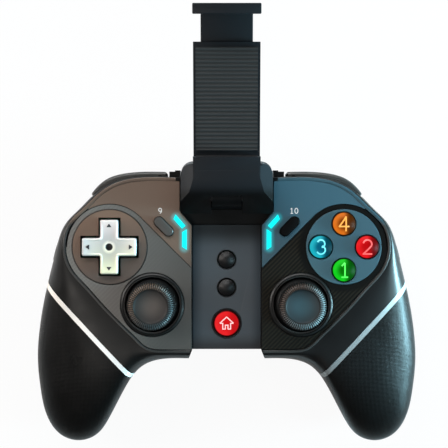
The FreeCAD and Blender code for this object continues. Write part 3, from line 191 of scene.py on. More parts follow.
def level(turn):
    """Outline points and height of the housing at an angle: 90 is the face, 0 the seam, -90 the back.

    The outline moves from EDGE to the narrow one with the cosine, and the height with the sine.
    """
    narrow, height = (FACE, FACE_HEIGHT) if turn >= 0 else (BACK, 0.0)
    share, rise = abs(direction(turn))
    return narrow + (EDGE - narrow) * share, SEAM + (height - SEAM) * rise


def housing_grid(columns, turns):
    """The housing's outside on a grid: one row for each angle, its columns at the row's own places."""
    rows = []
    for places, turn in zip(columns, turns):
        points, height = level(turn)
        rows.append(lifted(through(points, places), height))
    return np.array(rows)


def crossing(turn, low, high, point, along):
    """Where, between two places, a level's outline passes a line through point, square to along."""
    places = np.linspace(low, high, 240)
    ahead = (through(level(turn)[0], places) - point) @ along
    return float(np.interp(0.0, ahead, places))


def normals_of(grid):
    """Unit normals of a grid, from the cross product of its two directions."""
    normal = np.cross(np.gradient(grid, axis=1), np.gradient(grid, axis=0))
    return normal / np.maximum(np.linalg.norm(normal, axis=2, keepdims=True), 1e-12)


def rounded_rect(x0, x1, y0, y1, radius, steps):
    """A rectangle's closed outline with round corners, counter-clockwise."""
    turns = np.linspace(0, math.pi / 2, steps + 1)
    corners = ((x1 - radius, y1 - radius), (x0 + radius, y1 - radius), (x0 + radius, y0 + radius),
               (x1 - radius, y0 + radius))
    return np.concatenate([np.column_stack([x + radius * np.cos(turns + quarter * math.pi / 2),
                                            y + radius * np.sin(turns + quarter * math.pi / 2)])
                           for quarter, (x, y) in enumerate(corners)])


def round_corners(points, radius, steps=5):
    """A closed polygon whose corners are short curves from one tangent point to the other.

    Each is the quadratic curve with the corner as its control point.
    """
    back = np.roll(points, 1, axis=0) - points
    ahead = np.roll(points, -1, axis=0) - points
    back /= np.linalg.norm(back, axis=1, keepdims=True)
    ahead /= np.linalg.norm(ahead, axis=1, keepdims=True)
    t = np.linspace(0, 1, steps + 1)[None, :, None]
    start = (points + back * radius)[:, None]
    end = (points + ahead * radius)[:, None]
    return ((1 - t) ** 2 * start + 2 * t * (1 - t) * points[:, None] + t ** 2 * end).reshape(-1, 2)


# Meshes

def placed(name, data):
    """A new object in the scene, at the origin."""
    obj = bpy.data.objects.new(name, data)
    bpy.context.scene.collection.objects.link(obj)
    return obj


def rework(mesh, change):
    """Opens a mesh for editing, hands it to a function and stores it again."""
    work = bmesh.new()
    work.from_mesh(mesh)
    change(work)
    work.to_mesh(mesh)
    work.free()


def quads(rows, cols, wrap_cols=False, wrap_rows=False, start=0):
    """Faces of a grid whose corners are numbered row by row."""
    r = np.arange(rows if wrap_rows else rows - 1)[:, None]
    c = np.arange(cols if wrap_cols else cols - 1)[None, :]
    r2, c2 = (r + 1) % rows, (c + 1) % cols
    face = np.stack([r * cols + c, r * cols + c2, r2 * cols + c2, r2 * cols + c], axis=-1)
    return face.reshape(-1, 4) + start


def volume(corners, faces):
    """Signed volume of closed faces: the sum of tetrahedra from the origin."""
    total = 0.0
    for group in faces:
        for k in range(1, group.shape[1] - 1):
            a, b, c = corners[group[:, 0]], corners[group[:, k]], corners[group[:, k + 1]]
            total += np.einsum("ij,ij->i", a, np.cross(b, c)).sum() / 6
    return total


def mesh_object(name, corners, faces, closed=True):
    """An object from corners in millimetres and arrays of faces, turned outwards."""
    if closed and volume(corners - corners.mean(axis=0), faces) < 0:
        faces = [group[:, ::-1] for group in faces]
    mesh = bpy.data.meshes.new(name)
    mesh.from_pydata(corners * MM, [], [face for group in faces for face in group.tolist()])
    mesh.validate()
    return placed(name, mesh)


def dress(obj, finish):
    """Gives a piece one finish and no other."""
    obj.data.materials.clear()
    obj.data.materials.append(finish)


def settle(obj, finish, body, soft_angle=35, replaces=()):
    """Smooth shading, finish, body, and the CAD nodes a piece stands for."""
    dress(obj, finish)
    obj.data.shade_smooth()
    obj.data.set_sharp_from_angle(angle=math.radians(soft_angle))
    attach(obj, body)
    if replaces:
        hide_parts(*replaces)


def stack(name, loops):
    """A closed piece from successive loops of the same size; each end closes on its middle."""
    loops = np.asarray(loops, float)
    count, size, _ = loops.shape
    here = np.arange(size)
    after = (here + 1) % size
    last = (count - 1) * size
    low, high = np.full(size, count * size), np.full(size, count * size + 1)
    corners = np.vstack([loops.reshape(-1, 3), loops[0].mean(axis=0), loops[-1].mean(axis=0)])
    return mesh_object(name, corners, [quads(count, size, wrap_cols=True), np.column_stack([low, after, here]),
                                       np.column_stack([high, here + last, after + last])])


def hoop(name, loops):
    """A closed piece whose loops also close on themselves."""
    count, size, _ = loops.shape
    return mesh_object(name, loops.reshape(-1, 3), [quads(count, size, wrap_cols=True, wrap_rows=True)])


def turned_loops(profile, centre, segments, wave=None):
    """Loops of a profile of (radius, height) turned about an upright axis; wave adds to the radius."""
    turn = np.linspace(0, 2 * math.pi, segments, endpoint=False)
    profile = np.asarray(profile, float)
    radius = profile[:, 0:1] + (0 if wave is None else wave(turn[None, :], np.arange(len(profile))[:, None]))
    return np.stack([centre[0] + radius * np.cos(turn), centre[1] + radius * np.sin(turn),
                     np.repeat(profile[:, 1:2], segments, axis=1)], axis=-1)


def flat_loops(outline, heights, insets):
    """Loops of a plan outline, one for each height, its points moved inwards along its normal by an inset."""
    ahead = np.roll(outline, -1, axis=0) - np.roll(outline, 1, axis=0)
    inward = np.column_stack([-ahead[:, 1], ahead[:, 0]]) / np.linalg.norm(ahead, axis=1, keepdims=True)
    return np.array([lifted(outline + inward * inset, height) for height, inset in zip(heights, insets)])


def mirrored(obj, name):
    """The same piece on the other side, its faces turned back outwards."""
    mesh = obj.data.copy()
    points = np.empty(len(mesh.vertices) * 3)
    mesh.vertices.foreach_get("co", points)
    points = points.reshape(-1, 3) * (-1, 1, 1)
    mesh.vertices.foreach_set("co", points.ravel())
    mesh.flip_normals()
    return placed(name, mesh)


def settle_pair(right, left_finish, right_finish, body, replaces=()):
    """Settles a right-hand piece and its mirror image, whose names say left where the first ones say right."""
    left = mirrored(right, right.name.replace("right", "left"))
    for piece, side, finish in ((left, "left", left_finish), (right, "right", right_finish)):
        nodes = [node.replace("right", side) for node in replaces]
        settle(piece, finish, body.replace("right", side), replaces=nodes)


def baked(obj):
    """The piece with its modifiers made into its mesh."""
    graph = bpy.context.evaluated_depsgraph_get()
    graph.update()
    mesh = bpy.data.meshes.new_from_object(obj.evaluated_get(graph))
    obj.modifiers.clear()
    obj.data = mesh
    return obj


def cut_by_plane(obj, point, outward, close=True):
    """Takes away what lies on the outward side of an upright plane, and closes the cut."""
    def cut(work):
        bmesh.ops.bisect_plane(work, geom=work.verts[:] + work.edges[:] + work.faces[:], dist=1e-7,
                               plane_co=(point[0] * MM, point[1] * MM, 0),
                               plane_no=(outward[0], outward[1], 0), clear_outer=True)
        if close:
            bmesh.ops.holes_fill(work, edges=[edge for edge in work.edges if edge.is_boundary], sides=0)

    rework(obj.data, cut)


def refined(node, name, width, segments=2):
    """A copy of a CAD plate: doubles merged, flat faces joined, edges rounded."""
    def join(work):
        bmesh.ops.remove_doubles(work, verts=work.verts, dist=2e-6)
        bmesh.ops.dissolve_limit(work, angle_limit=math.radians(0.6), verts=work.verts, edges=work.edges)

    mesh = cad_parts[node].data.copy()
    rework(mesh, join)
    obj = placed(name, mesh)
    edge = obj.modifiers.new("edge", "BEVEL")
    edge.width = width * MM
    edge.segments = segments
    edge.limit_method = "ANGLE"
    edge.angle_limit = math.radians(40)
    return baked(obj)


# Shader sums

def add(tree, kind, inputs=None, **settings):
    """A shader node, its settings made and its inputs fed."""
    item = tree.nodes.new("ShaderNode" + kind)
    for key, value in settings.items():
        setattr(item, key, value)
    feed(item, inputs or {})
    return item


def feed(item, inputs):
    """Links a node's input to a reading, or sets it to a number or colour."""
    for key, value in inputs.items():
        if isinstance(value, Reading):
            value.tree.links.new(value.socket, item.inputs[key])
        else:
            item.inputs[key].default_value = value


def read(tree, kind, output, inputs=None, **settings):
    """One output of a new shader node, as a reading."""
    return Reading(tree, add(tree, kind, inputs, **settings).outputs[output])


def calc(operation, first, second=0.0):
    """One sum with one or two terms, at least one of them a reading."""
    tree = (first if isinstance(first, Reading) else second).tree
    return read(tree, "Math", 0, {0: first, 1: second}, operation=operation)


def rgba(colour, share=1.0):
    """A colour, dimmed to a share, as a shader takes it."""
    return tuple(share * channel for channel in colour) + (1.0,)


class Reading:
    """A number or colour that a shader tree works out; sums of readings make the nodes that do them."""

    def __init__(self, tree, socket):
        self.tree = tree
        self.socket = socket

    def __add__(self, other):
        return calc("ADD", self, other)

    def __sub__(self, other):
        return calc("SUBTRACT", self, other)

    def __rsub__(self, other):
        return calc("SUBTRACT", other, self)

    def __mul__(self, other):
        return calc("MULTIPLY", self, other)

    def __pow__(self, other):
        return calc("POWER", self, other)

    def __abs__(self):
        return calc("ABSOLUTE", self)

    def ramp(self, low, high, start=0.0, end=1.0, kind="LINEAR"):
        """This number moved from the range low to high into start to end, and kept inside it."""
        return read(self.tree, "MapRange", "Result", {
            "Value": self, "From Min": low, "From Max": high, "To Min": start, "To Max": end},
            interpolation_type=kind)

    def ease(self, low, high, start=0.0, end=1.0):
        """A ramp with soft ends."""
        return self.ramp(low, high, start, end, "SMOOTHSTEP")

    def blend(self, first, second):
        """The colour at this share of the way from the first to the second."""
        first, second = (item if isinstance(item, Reading) else rgba(item) for item in (first, second))
        return read(self.tree, "Mix", 2, {0: self, 6: first, 7: second}, data_type="RGBA")


def from_centre(x, y, centre):
    """Distance in plan from a centre."""
    across, up = x - centre[0], y - centre[1]
    return calc("SQRT", across * across + up * up)


def lit_edges(x, y):
    """How strongly the painted glow of the two light bars shines on a place: falls off with the distance from
    each bar's line.

    Both sides are read at once through the size of x. A bar is measured along and across its own line.
    """
    shines = []
    for middle, angle, half in LIGHT_BARS:
        cos, sin = direction(angle)
        dx, dy = abs(x) - middle[0], y - middle[1]
        past = calc("MAXIMUM", abs(dx * cos + dy * sin) - half, 0.0)
        across = dy * cos - dx * sin
        shines.append(calc("SQRT", past * past + across * across).ease(0.9, 3.0, 1.0, 0.0))
    return calc("MAXIMUM", *shines)


class Finish:
    """A material in the making, with its principled shader and the place on the object in metres."""

    def __init__(self, name):
        self.material = bpy.data.materials.new(name)
        self.material.use_nodes = True
        self.tree = self.material.node_tree
        self.shader = self.tree.nodes["Principled BSDF"]
        self.place = read(self.tree, "TexCoord", "Object")

    def parts(self, vector):
        """The three coordinates of a vector."""
        return [Reading(self.tree, output)
                for output in add(self.tree, "SeparateXYZ", {0: vector}).outputs]

    def axes(self):
        """The place's three coordinates in millimetres."""
        return self.parts(read(self.tree, "VectorMath", 0, {0: self.place, "Scale": 1000.0},
                               operation="SCALE"))

    def facing(self):
        """Which way the surface looks, on the object's axes."""
        return self.parts(read(self.tree, "TexCoord", "Normal"))

    def noise(self, scale, detail=2.0):
        """Soft patches, scale of them to a metre."""
        return read(self.tree, "TexNoise", "Fac",
                    {"Vector": self.place, "Scale": scale, "Detail": detail})

    def mottled(self, colour, amount, scale):
        """The colour, a little lighter and darker in soft patches."""
        shade = self.noise(scale, 3.0).ramp(0.25, 0.75, 1 - amount, 1 + amount)
        tint = read(self.tree, "CombineXYZ", 0, {"X": shade, "Y": shade, "Z": shade})
        return read(self.tree, "VectorMath", 0, {0: colour, 1: tint}, operation="MULTIPLY")

    def paint(self, colour, amount, scale=60.0):
        """Soft patches of a colour as the base colour."""
        feed(self.shader, {"Base Color": self.mottled(colour, amount, scale)})

    def relief(self, height, strength, distance):
        """A height pattern as relief; distance is in metres."""
        feed(self.shader, {"Normal": read(self.tree, "Bump", "Normal", {
            "Height": height, "Strength": strength, "Distance": distance})})

    def grain(self, roughness, depth):
        """Drifting roughness and a fine moulded grain."""
        feed(self.shader, {"Roughness": self.noise(140.0).ramp(0.3, 0.7, roughness - 0.03, roughness + 0.04)})
        self.relief(self.noise(GRAIN), depth, GRAIN_HEIGHT)

    def done(self, inputs):
        """The material, once the shader's remaining inputs are fed."""
        feed(self.shader, inputs)
        return self.material


# Finishes

def moulded(name, colour, roughness, depth=0.12, shine=0.5, metallic=0.0, coat=0.0):
    """Moulded plastic or metal: soft patches of colour, drifting roughness and a fine grain."""
    finish = Finish(name)
    finish.paint(colour, 0.08, 55.0)
    finish.grain(roughness, depth)
    return finish.done({"Metallic": metallic, "Specular IOR Level": shine, "Coat Weight": coat,
                        "Coat Roughness": 0.12})


def glowing(name, colour, strength):
    """A lit surface: its colour given off, a little weaker in soft patches."""
    finish = Finish(name)
    return finish.done({"Emission Color": finish.mottled(colour, 0.05, 300.0), "Emission Strength": strength,
                        "Base Color": rgba(colour, 0.2), "Roughness": 0.35})


def panel_finish(name, high_tone, low_tone, run, ring_centre=None):
    """A cover whose tone drifts along a direction, a painted fall of coloured light, with a painted glow near
    the light bars; a disc ends in a dark line, painted shade of the gap round it.

    run holds the direction in plan, then how far along it the drift starts and ends.
    """
    finish = Finish(name)
    x, y, _ = finish.axes()
    # Painted coloured light: the tone grows towards high_tone along run.
    tone = (x * run[0] + y * run[1]).ease(run[2], run[3]).blend(low_tone, high_tone)
    if ring_centre is not None:
        # Painted shade of the gap round the disc: a dark line at its edge.
        rim = from_centre(x, y, ring_centre).ramp(14.95, 15.25, 0.0, 0.8)
        tone = rim.blend(tone, (0.006, 0.005, 0.005))
    finish.paint(tone, 0.04)
    finish.grain(0.42, 0.06)
    # Painted glow of the light bars, given off near them.
    return finish.done({"Emission Color": (0.0, 0.75, 0.85, 1.0), "Specular IOR Level": 0.35,
                        "Emission Strength": lit_edges(x, y) ** 1.6 * 0.3})


def ribbed_plate(name, ridge, groove, depth, ring_centre=None, inner_tone=None):
    """Fine slanting ridges: a sine across them, with a weaker and finer one along.

    Round the button disc the plate stays dark, and its tone can drift towards another one inwards.
    """
    finish = Finish(name)
    x, y, _ = finish.axes()
    across = calc("SINE", (x - y) * (math.sqrt(0.5) * 2 * math.pi / RIDGE_PITCH))
    along = calc("SINE", (x + y) * (2 * math.pi / (RIDGE_PITCH * 0.42)))
    share = (across + along * 0.25).ease(-0.6, 1.1)
    if ring_centre is not None:
        share = share * from_centre(x, y, ring_centre).ease(17.2, 19.5)
    tone = share.blend(groove, ridge)
    if inner_tone is not None:
        tone = x.ramp(-66.0, -18.0).blend(tone, inner_tone)
    finish.relief(share, depth, 0.0001)
    return finish.done({"Base Color": tone, "Roughness": 0.46, "Specular IOR Level": 0.18})


def grip_finish(name):
    """Soft black grip: a grid of small square studs, laid on by which way a face looks."""
    finish = Finish(name)
    waves = [calc("SINE", item * (math.pi / STUD)) for item in finish.axes()]
    facing = finish.facing()
    studs = waves[0] * waves[1]
    for side in (0, 1):
        turned = abs(facing[side]).ramp(0.66, 0.76)
        studs = studs * (1.0 - turned) + waves[1 - side] * waves[2] * turned
    share = abs(studs).ease(0.1, 0.75)
    finish.paint(share.blend((0.0015, 0.0015, 0.0015), (0.0060, 0.0058, 0.0057)), 0.08)
    finish.relief(share, 0.35, 0.0001)
    return finish.done({"Roughness": finish.noise(90.0).ramp(0.3, 0.7, 0.27, 0.33), "Specular IOR Level": 0.2})


def trim_finish(name, high_tone, low_tone):
    """Silver trim whose tone drifts along its length, painted light and shade, with a fine grain."""
    finish = Finish(name)
    _, y, _ = finish.axes()
    finish.paint(y.ramp(-54.0, -8.0).blend(low_tone, high_tone), 0.03)
    finish.grain(0.34, 0.04)
    return finish.done({"Metallic": 0.08})


def metal_cross(name):
    """Bright cast metal with a painted reflection, cooler above, creamy below and greyer on the left; painted
    shade turns its rolled edge bluish, and its middle hole is black.
    """
    finish = Finish(name)
    x, y, z = finish.axes()
    middle_x, middle_y = LEFT_DISC
    reach = from_centre(x, y, LEFT_DISC)
    # Painted reflection: cooler above, creamy below, greyer on the left.
    tone = y.ease(middle_y - 9, middle_y + 7).blend((1.0, 1.0, 0.72), (0.92, 0.84, 0.82))
    tone = x.ease(middle_x - 11, middle_x - 3, 1.0, 0.0).blend(tone, (0.72, 0.74, 0.74))
    # Painted shade: the rolled edge darkens to a bluish grey.
    edge = z.ease(35.9, 36.62, 1.0, 0.0) * reach.ramp(2.0, 3.0)
    tone = edge.blend(tone, (0.25, 0.29, 0.31))
    finish.paint(reach.ramp(1.35, 1.6).blend((0.01, 0.01, 0.01), tone), 0.03, 40.0)
    finish.grain(0.3, 0.03)
    return finish.done({"Metallic": 0.05})


def lens(name, heart, glow, centre, radius, dusk, rim=0.97):
    """A lit button: dark in its heart and glowing towards the left of its rim, painted light on the left and
    painted shade on the right; the rim itself black, a painted shadow of the gap round it.

    dusk is the share of the heart's light left on the right, under the painted shade; rim is where the painted
    black shadow is full.
    """
    finish = Finish(name)
    x, y, _ = finish.axes()
    reach = from_centre(x, y, centre)
    # Painted light by side: full on the left, painted shade towards the right.
    side = (x - centre[0]).ease(-0.1 * radius, 0.65 * radius, 1.0, 0.0)
    lit = (reach.ease(radius * 0.25, radius * 0.82) * side).blend(heart, glow)
    tone = side.blend([dusk * channel for channel in heart], lit)
    # Painted shadow of the gap round the button: black at the rim.
    tone = reach.ease(radius * (rim - 0.07), radius * rim).blend(tone, (0.002, 0.002, 0.002))
    return finish.done({"Emission Color": tone, "Emission Strength": 1.0, "Base Color": rgba(glow, 0.05),
                        "Roughness": 0.34, "Specular IOR Level": 0.04})


def stick_finish(name, centre, dish_dark, dish_light, rib_left, rib_right):
    """Thumb cap: a painted soft sheen in the dish and painted highlights on the rib crests round it, warm on
    one side and cool on the other; black elsewhere.
    """
    finish = Finish(name)
    x, y, z = finish.axes()
    reach = from_centre(x, y, centre)
    turn = calc("ARCTAN2", y - centre[1], x - centre[0])
    crest = calc("COSINE", turn * RIBS).ease(-0.2, 0.9)
    band = reach.ease(6.9, 7.2) * reach.ease(8.7, 9.6, 1.0, 0.0) * z.ramp(42.0, 43.6)
    middle = centre[0] - centre[1]
    # Painted highlights on the crests, warm towards one side and cool towards the other.
    crest_highlight = (x - y).ease(middle - 9, middle + 9).blend(rib_left, rib_right)
    # Painted sheen: light in the middle of the dish, darker towards its lip.
    tone = reach.ease(1.0, 6.8).blend(dish_light, dish_dark)
    tone = reach.ramp(6.5, 6.8).blend(tone, (0.004, 0.004, 0.004))
    finish.grain(0.45, 0.15)
    return finish.done({"Base Color": (band * crest).blend(tone, crest_highlight), "Specular IOR Level": 0.4})


def holder_finish(name):
    """Holder: dark slate, with painted shade that turns the barrel below the column near black; duller on its
    right-hand flanks.
    """
    finish = Finish(name)
    _, y, _ = finish.axes()
    flank = finish.facing()[0].ramp(0.3, 0.6)
    # Painted shade: near black on the barrel below the column.
    finish.paint(y.ease(26.5, 31.0).blend((0.0016, 0.0017, 0.0018), (0.0110, 0.0130, 0.0160)), 0.05)
    finish.relief(finish.noise(GRAIN), 0.06, GRAIN_HEIGHT)
    return finish.done({"Roughness": flank * 0.5 + 0.42, "Specular IOR Level": 0.2})


def strip_finish(name):
    """Centre strip: slate, darker and cooler at its edges, in the holder's shade and at its near end."""
    finish = Finish(name)
    x, y, _ = finish.axes()
    tone = abs(x).ease(9.0, 14.0).blend((0.062, 0.072, 0.082), (0.030, 0.040, 0.050))
    tone = y.ease(5.0, 13.0, 0.0, 0.85).blend(tone, (0.008, 0.009, 0.010))
    tone = y.ease(-36.0, -29.0, 0.75, 0.0).blend(tone, (0.016, 0.013, 0.013))
    finish.paint(tone, 0.05)
    finish.grain(0.45, 0.06)
    return finish.done({"Specular IOR Level": 0.35})


def rim_finish(name, top_tone):
    """The raised line round the face: in the cover's tone, painted warm or cool light, along the top edge and
    grey below it.
    """
    finish = Finish(name)
    _, y, _ = finish.axes()
    finish.paint(y.ease(14.0, 17.5).blend((0.040, 0.039, 0.038), top_tone), 0.08)
    finish.grain(0.34, 0.05)
    return finish.material


def rubber_ribs(name):
    """Soft pads with fine ridges across the arm."""
    finish = Finish(name)
    _, y, _ = finish.axes()
    wave = calc("SINE", y * (2 * math.pi / PAD_PITCH))
    finish.relief(wave, 0.4, 0.0002)
    tone = wave.ease(-0.4, 0.8).blend((0.008, 0.008, 0.008), (0.022, 0.022, 0.023))
    return finish.done({"Base Color": tone, "Roughness": 0.7})


shell_satin = moulded("shell_satin", (0.0034, 0.0032, 0.0032), 0.35, 0.05, 0.4)
shell_matte = moulded("shell_matte", (0.0085, 0.0085, 0.0090), 0.46, 0.25)
shoulder_grey = moulded("shoulder_grey", (0.046, 0.045, 0.043), 0.32, 0.05)
# Warm on the left and teal on the right: painted coloured light, as on the covers.
rim_tone_left = rim_finish("rim_tone_left", (0.135, 0.094, 0.072))
rim_tone_right = rim_finish("rim_tone_right", (0.040, 0.096, 0.125))
# One silver trim: painted light keeps the left one bright, painted shade turns the right one grey and darker
# towards its lower end.
trim_left = trim_finish("trim_left", (1.0, 0.93, 0.85), (1.0, 0.99, 0.99))
trim_right = trim_finish("trim_right", (0.52, 0.59, 0.61), (0.15, 0.16, 0.165))
grip_black = grip_finish("grip_black")
# The covers are one dark grey: the warm tone on the left, the teal on the right and their drift are painted
# coloured light.
panel_left = panel_finish("panel_left", (0.160, 0.110, 0.084), (0.046, 0.046, 0.044), (-0.6, 0.8, -6.0, 20.0))
panel_right = panel_finish("panel_right", (0.048, 0.118, 0.160), (0.040, 0.075, 0.095), (0.6, 0.8, 10.0, 40.0))
plate_grey = ribbed_plate("plate_grey", (0.205, 0.196, 0.184), (0.180, 0.171, 0.160), 0.08,
                          inner_tone=(0.090, 0.085, 0.080))
plate_woven = ribbed_plate("plate_woven", (0.018, 0.015, 0.009), (0.0024, 0.0024, 0.0020), 0.5, DISC)
# The discs likewise: warm on the left and teal on the right, painted coloured light.
disc_left = panel_finish("disc_left", (0.190, 0.122, 0.088), (0.105, 0.080, 0.068), (-0.4, 0.9, 12.0, 38.0),
                         LEFT_DISC)
disc_right = panel_finish("disc_right", (0.050, 0.115, 0.150), (0.055, 0.125, 0.155), (0.6, 0.8, 10.0, 40.0))
strip_dark = strip_finish("strip_dark")
ring_satin = moulded("ring_satin", (0.008, 0.008, 0.008), 0.38, 0.04, 0.35)
# A lighter grey line ring: painted highlight on the bezel's inner edge.
ring_line = moulded("ring_line", (0.036, 0.034, 0.033), 0.34, 0.04)
# Painted sheen and highlights: warm on the left stick, cool on the right.
stick_left = stick_finish("stick_left", STICK * (-1, 1), (0.024, 0.021, 0.020), (0.090, 0.076, 0.068),
                          (0.130, 0.082, 0.054), (0.045, 0.070, 0.080))
stick_right = stick_finish("stick_right", STICK, (0.018, 0.030, 0.036), (0.038, 0.085, 0.105),
                           (0.070, 0.040, 0.028), (0.17, 0.23, 0.25))
cross_silver = metal_cross("cross_silver")
mark_dark = moulded("mark_dark", (0.035, 0.035, 0.042), 0.4)
button_grey = moulded("button_grey", (0.070, 0.066, 0.062), 0.4)
start_black = moulded("start_black", (0.0020, 0.0018, 0.0020), 0.6, 0.02, 0.08)
button_black = moulded("button_black", (0.004, 0.004, 0.0045), 0.46, 0.02, 0.4)
holder_satin = holder_finish("holder_satin")
pad_soft = rubber_ribs("pad_soft")
steel_plain = moulded("steel_plain", (0.55, 0.55, 0.56), 0.35, metallic=1.0)
steel_black = moulded("steel_black", (0.0020, 0.0020, 0.0022), 0.4, shine=0.15)
inner_grey = moulded("inner_grey", (0.2, 0.2, 0.2), 0.5)
silicone = moulded("silicone", (0.70, 0.70, 0.66), 0.5)
board_green = moulded("board_green", (0.02, 0.14, 0.06), 0.35, coat=0.4)
cell_foil = moulded("cell_foil", (0.7, 0.71, 0.72), 0.35, metallic=0.8)
light_cyan = glowing("light_cyan", (0.0, 0.93, 0.95), 1.0)
# Painted light: the white print gives off its colour.
mark_white = glowing("mark_white", (0.75, 0.76, 0.76), 0.8)
mark_pink = glowing("mark_pink", (1.0, 0.62, 0.62), 1.0)


# Housing

# Where a skin's columns may start or end: the outline's places to look between, a point, and square to it
MIDDLE = (0.0, 1.0, (0.0, 0.0), ACROSS)
FRONT_END = (20.0, 21.9, (17.0, 0.0), -ACROSS)


def make_skin(name, angles, row_counts, cuts, column_counts, window):
    """Smooth outside of the housing's right half over a run of angles, just under its surface.

    Rows step through the angles, and a row's columns through the places where its outline crosses the
    cuts. window names the stretch of rows and the stretch of columns left open. The grips are cut off at
    the trim, and the skin is thickened inwards.
    """
    turns = stepped(angles, row_counts)
    columns = [stepped([crossing(turn, *cut) for cut in cuts], column_counts) for turn in turns]
    grid = housing_grid(columns, turns)
    upward = turns[-1] > 0
    grid += normals_of(grid) * (-SKIN_DEPTH if upward else SKIN_DEPTH)
    kept = np.ones((len(turns) - 1, grid.shape[1] - 1), bool)
    kept[stretch(row_counts, window[0]), stretch(column_counts, window[1])] = False
    faces = quads(*grid.shape[:2])[kept.ravel()]
    obj = mesh_object(name, grid.reshape(-1, 3), [faces[:, ::-1] if upward else faces], closed=False)
    cut_by_plane(obj, TRIM_POINT - TRIM_OUT * TRIM_HALF, TRIM_OUT, close=False)
    wall = obj.modifiers.new("thickness", "SOLIDIFY")
    wall.thickness = SKIN_THICKNESS * MM
    wall.offset = -1.0
    return baked(obj)


def make_upper_skin():
    """Upper half, open where the bumper sits."""
    low, high = (math.degrees(math.asin((z - SEAM) / (FACE_HEIGHT - SEAM))) for z in BUMPER_WINDOW)
    cuts = ((1.0, 2.0, (BUMPER_START - BUMPER_GAP, 0.0), ACROSS),
            (3.0, 5.5, BUMPER_END + BUMPER_OUT, BUMPER_OUT), FRONT_END)
    return make_skin("upper_skin_right", (0, low, high, 90), (5, 12, 9), cuts, (30, 170), (1, 0))


def make_lower_skin():
    """Lower half, open where the trigger sits."""
    seat = math.degrees(math.asin((SEAM - TRIGGER_TOP) / SEAM))
    first = TRIGGER_LINE[1] - TRIGGER_LINE[0]
    first /= np.linalg.norm(first)
    last = TRIGGER_LINE[-1] - TRIGGER_LINE[-2]
    last /= np.linalg.norm(last)
    cuts = (MIDDLE, (2.0, 5.0, TRIGGER_LINE[0] - first * TRIGGER_GAP, first),
            (6.5, 9.0, TRIGGER_LINE[-1] + last * TRIGGER_GAP, last), FRONT_END)
    return make_skin("lower_skin_right", (0, -seat, -88), (3, 26), cuts, (30, 40, 140), (1, 1))


settle_pair(make_upper_skin(), shell_satin, shell_satin, "housing")
settle_pair(make_lower_skin(), shell_matte, shell_matte, "housing")


def make_grip_form(name, start, end=None):
    """Right grip: the housing's outside past a plane across it, with its flat back closed to a point.

    Rows run from the flat back over the seam to the face; the plane's cut is closed. start and end are
    measured along TRIM_OUT from TRIM_POINT.
    """
    turns = stepped((-90, 0, 84), (29, 27))
    grid = housing_grid([np.linspace(7.6, 20.4, 190)] * len(turns), turns)
    inside = np.array([44.0, -18.0, 0.0])
    top = inside + (0, 0, FACE_HEIGHT)
    floor = inside + (grid[0][None] - inside) * np.linspace(0.0, 0.96, 7)[:, None, None]
    roof = top + (grid[-1][None] - top) * np.linspace(0.9, 0.0, 3)[:, None, None]
    grid = np.concatenate([floor, grid, roof])
    obj = mesh_object(name, grid.reshape(-1, 3), [quads(*grid.shape[:2])], closed=False)
    rework(obj.data, lambda work: bmesh.ops.remove_doubles(work, verts=work.verts, dist=1e-7))
    cut_by_plane(obj, TRIM_POINT + TRIM_OUT * start, -TRIM_OUT)
    if end is not None:
        cut_by_plane(obj, TRIM_POINT + TRIM_OUT * end, TRIM_OUT)
    rework(obj.data, lambda work: bmesh.ops.recalc_face_normals(work, faces=work.faces))
    return obj


settle_pair(make_grip_form("right_grip_shell", TRIM_HALF), grip_black, grip_black, "housing",
            ["right_grip"])
settle_pair(make_grip_form("right_trim_band", TRIM_GAP - TRIM_HALF, TRIM_HALF - TRIM_GAP), trim_left,
            trim_right, "housing", ["right_trim"])


def make_rim_bead():
    """Raised line along the face's edge, right side: a low round bead carried along the face outline.

    Along the top its inner foot moves inwards, up to the cover, so that no dark groove shows there.
    """
    flat = through(FACE, np.linspace(1.06, 21.0, 240))
    flat = flat[(flat[:, 0] > 19.3) | ((flat[:, 1] < 0) & (flat[:, 0] > 14.4))]
    inward = -left_of(flat)
    profile = [(0.06, -0.4), (0.06, 0.06), (0.2, 0.16), (0.6, 0.2), (1.0, 0.16), (1.14, 0.06), (1.14, -0.4)]
    wider = np.interp(flat[:, 1:], (14.0, 18.0), (0.0, 0.3))
    rows = [lifted(flat + inward * (inset + wider * (inset > 0.7)), FACE_HEIGHT + rise)
            for inset, rise in profile]
    return stack("rim_right", np.stack(rows, axis=1))


settle_pair(make_rim_bead(), rim_tone_left, rim_tone_right, "housing")

for node, width, finish, slot in (
        ("left_top_panel", 0.28, panel_left, "panel_grey"),
        ("right_top_panel", 0.28, panel_right, "panel_grey"),
        ("left_side_plate", 0.28, plate_grey, "plate_dark"),
        ("right_side_plate", 0.28, plate_woven, "plate_dark"),
        ("dpad_disc", 0.2, disc_left, "disc_black"),
        ("button_disc", 0.2, disc_right, "disc_black"),
        ("centre_strip", 0.25, strip_dark, "strip_black")):
    settle(refined(node, node + "_cover", width), finish, "housing", 20, [node])


# Raised marks, drawn as closed strokes

MARK_SINK = 0.3
MARK_ADVANCE = 0.85


def arc(x, y, across, up, start, end, count=14):
    """Points of part of an ellipse."""
    turn = np.radians(np.linspace(start, end, count))
    return list(zip(x + across * np.cos(turn), y + up * np.sin(turn)))


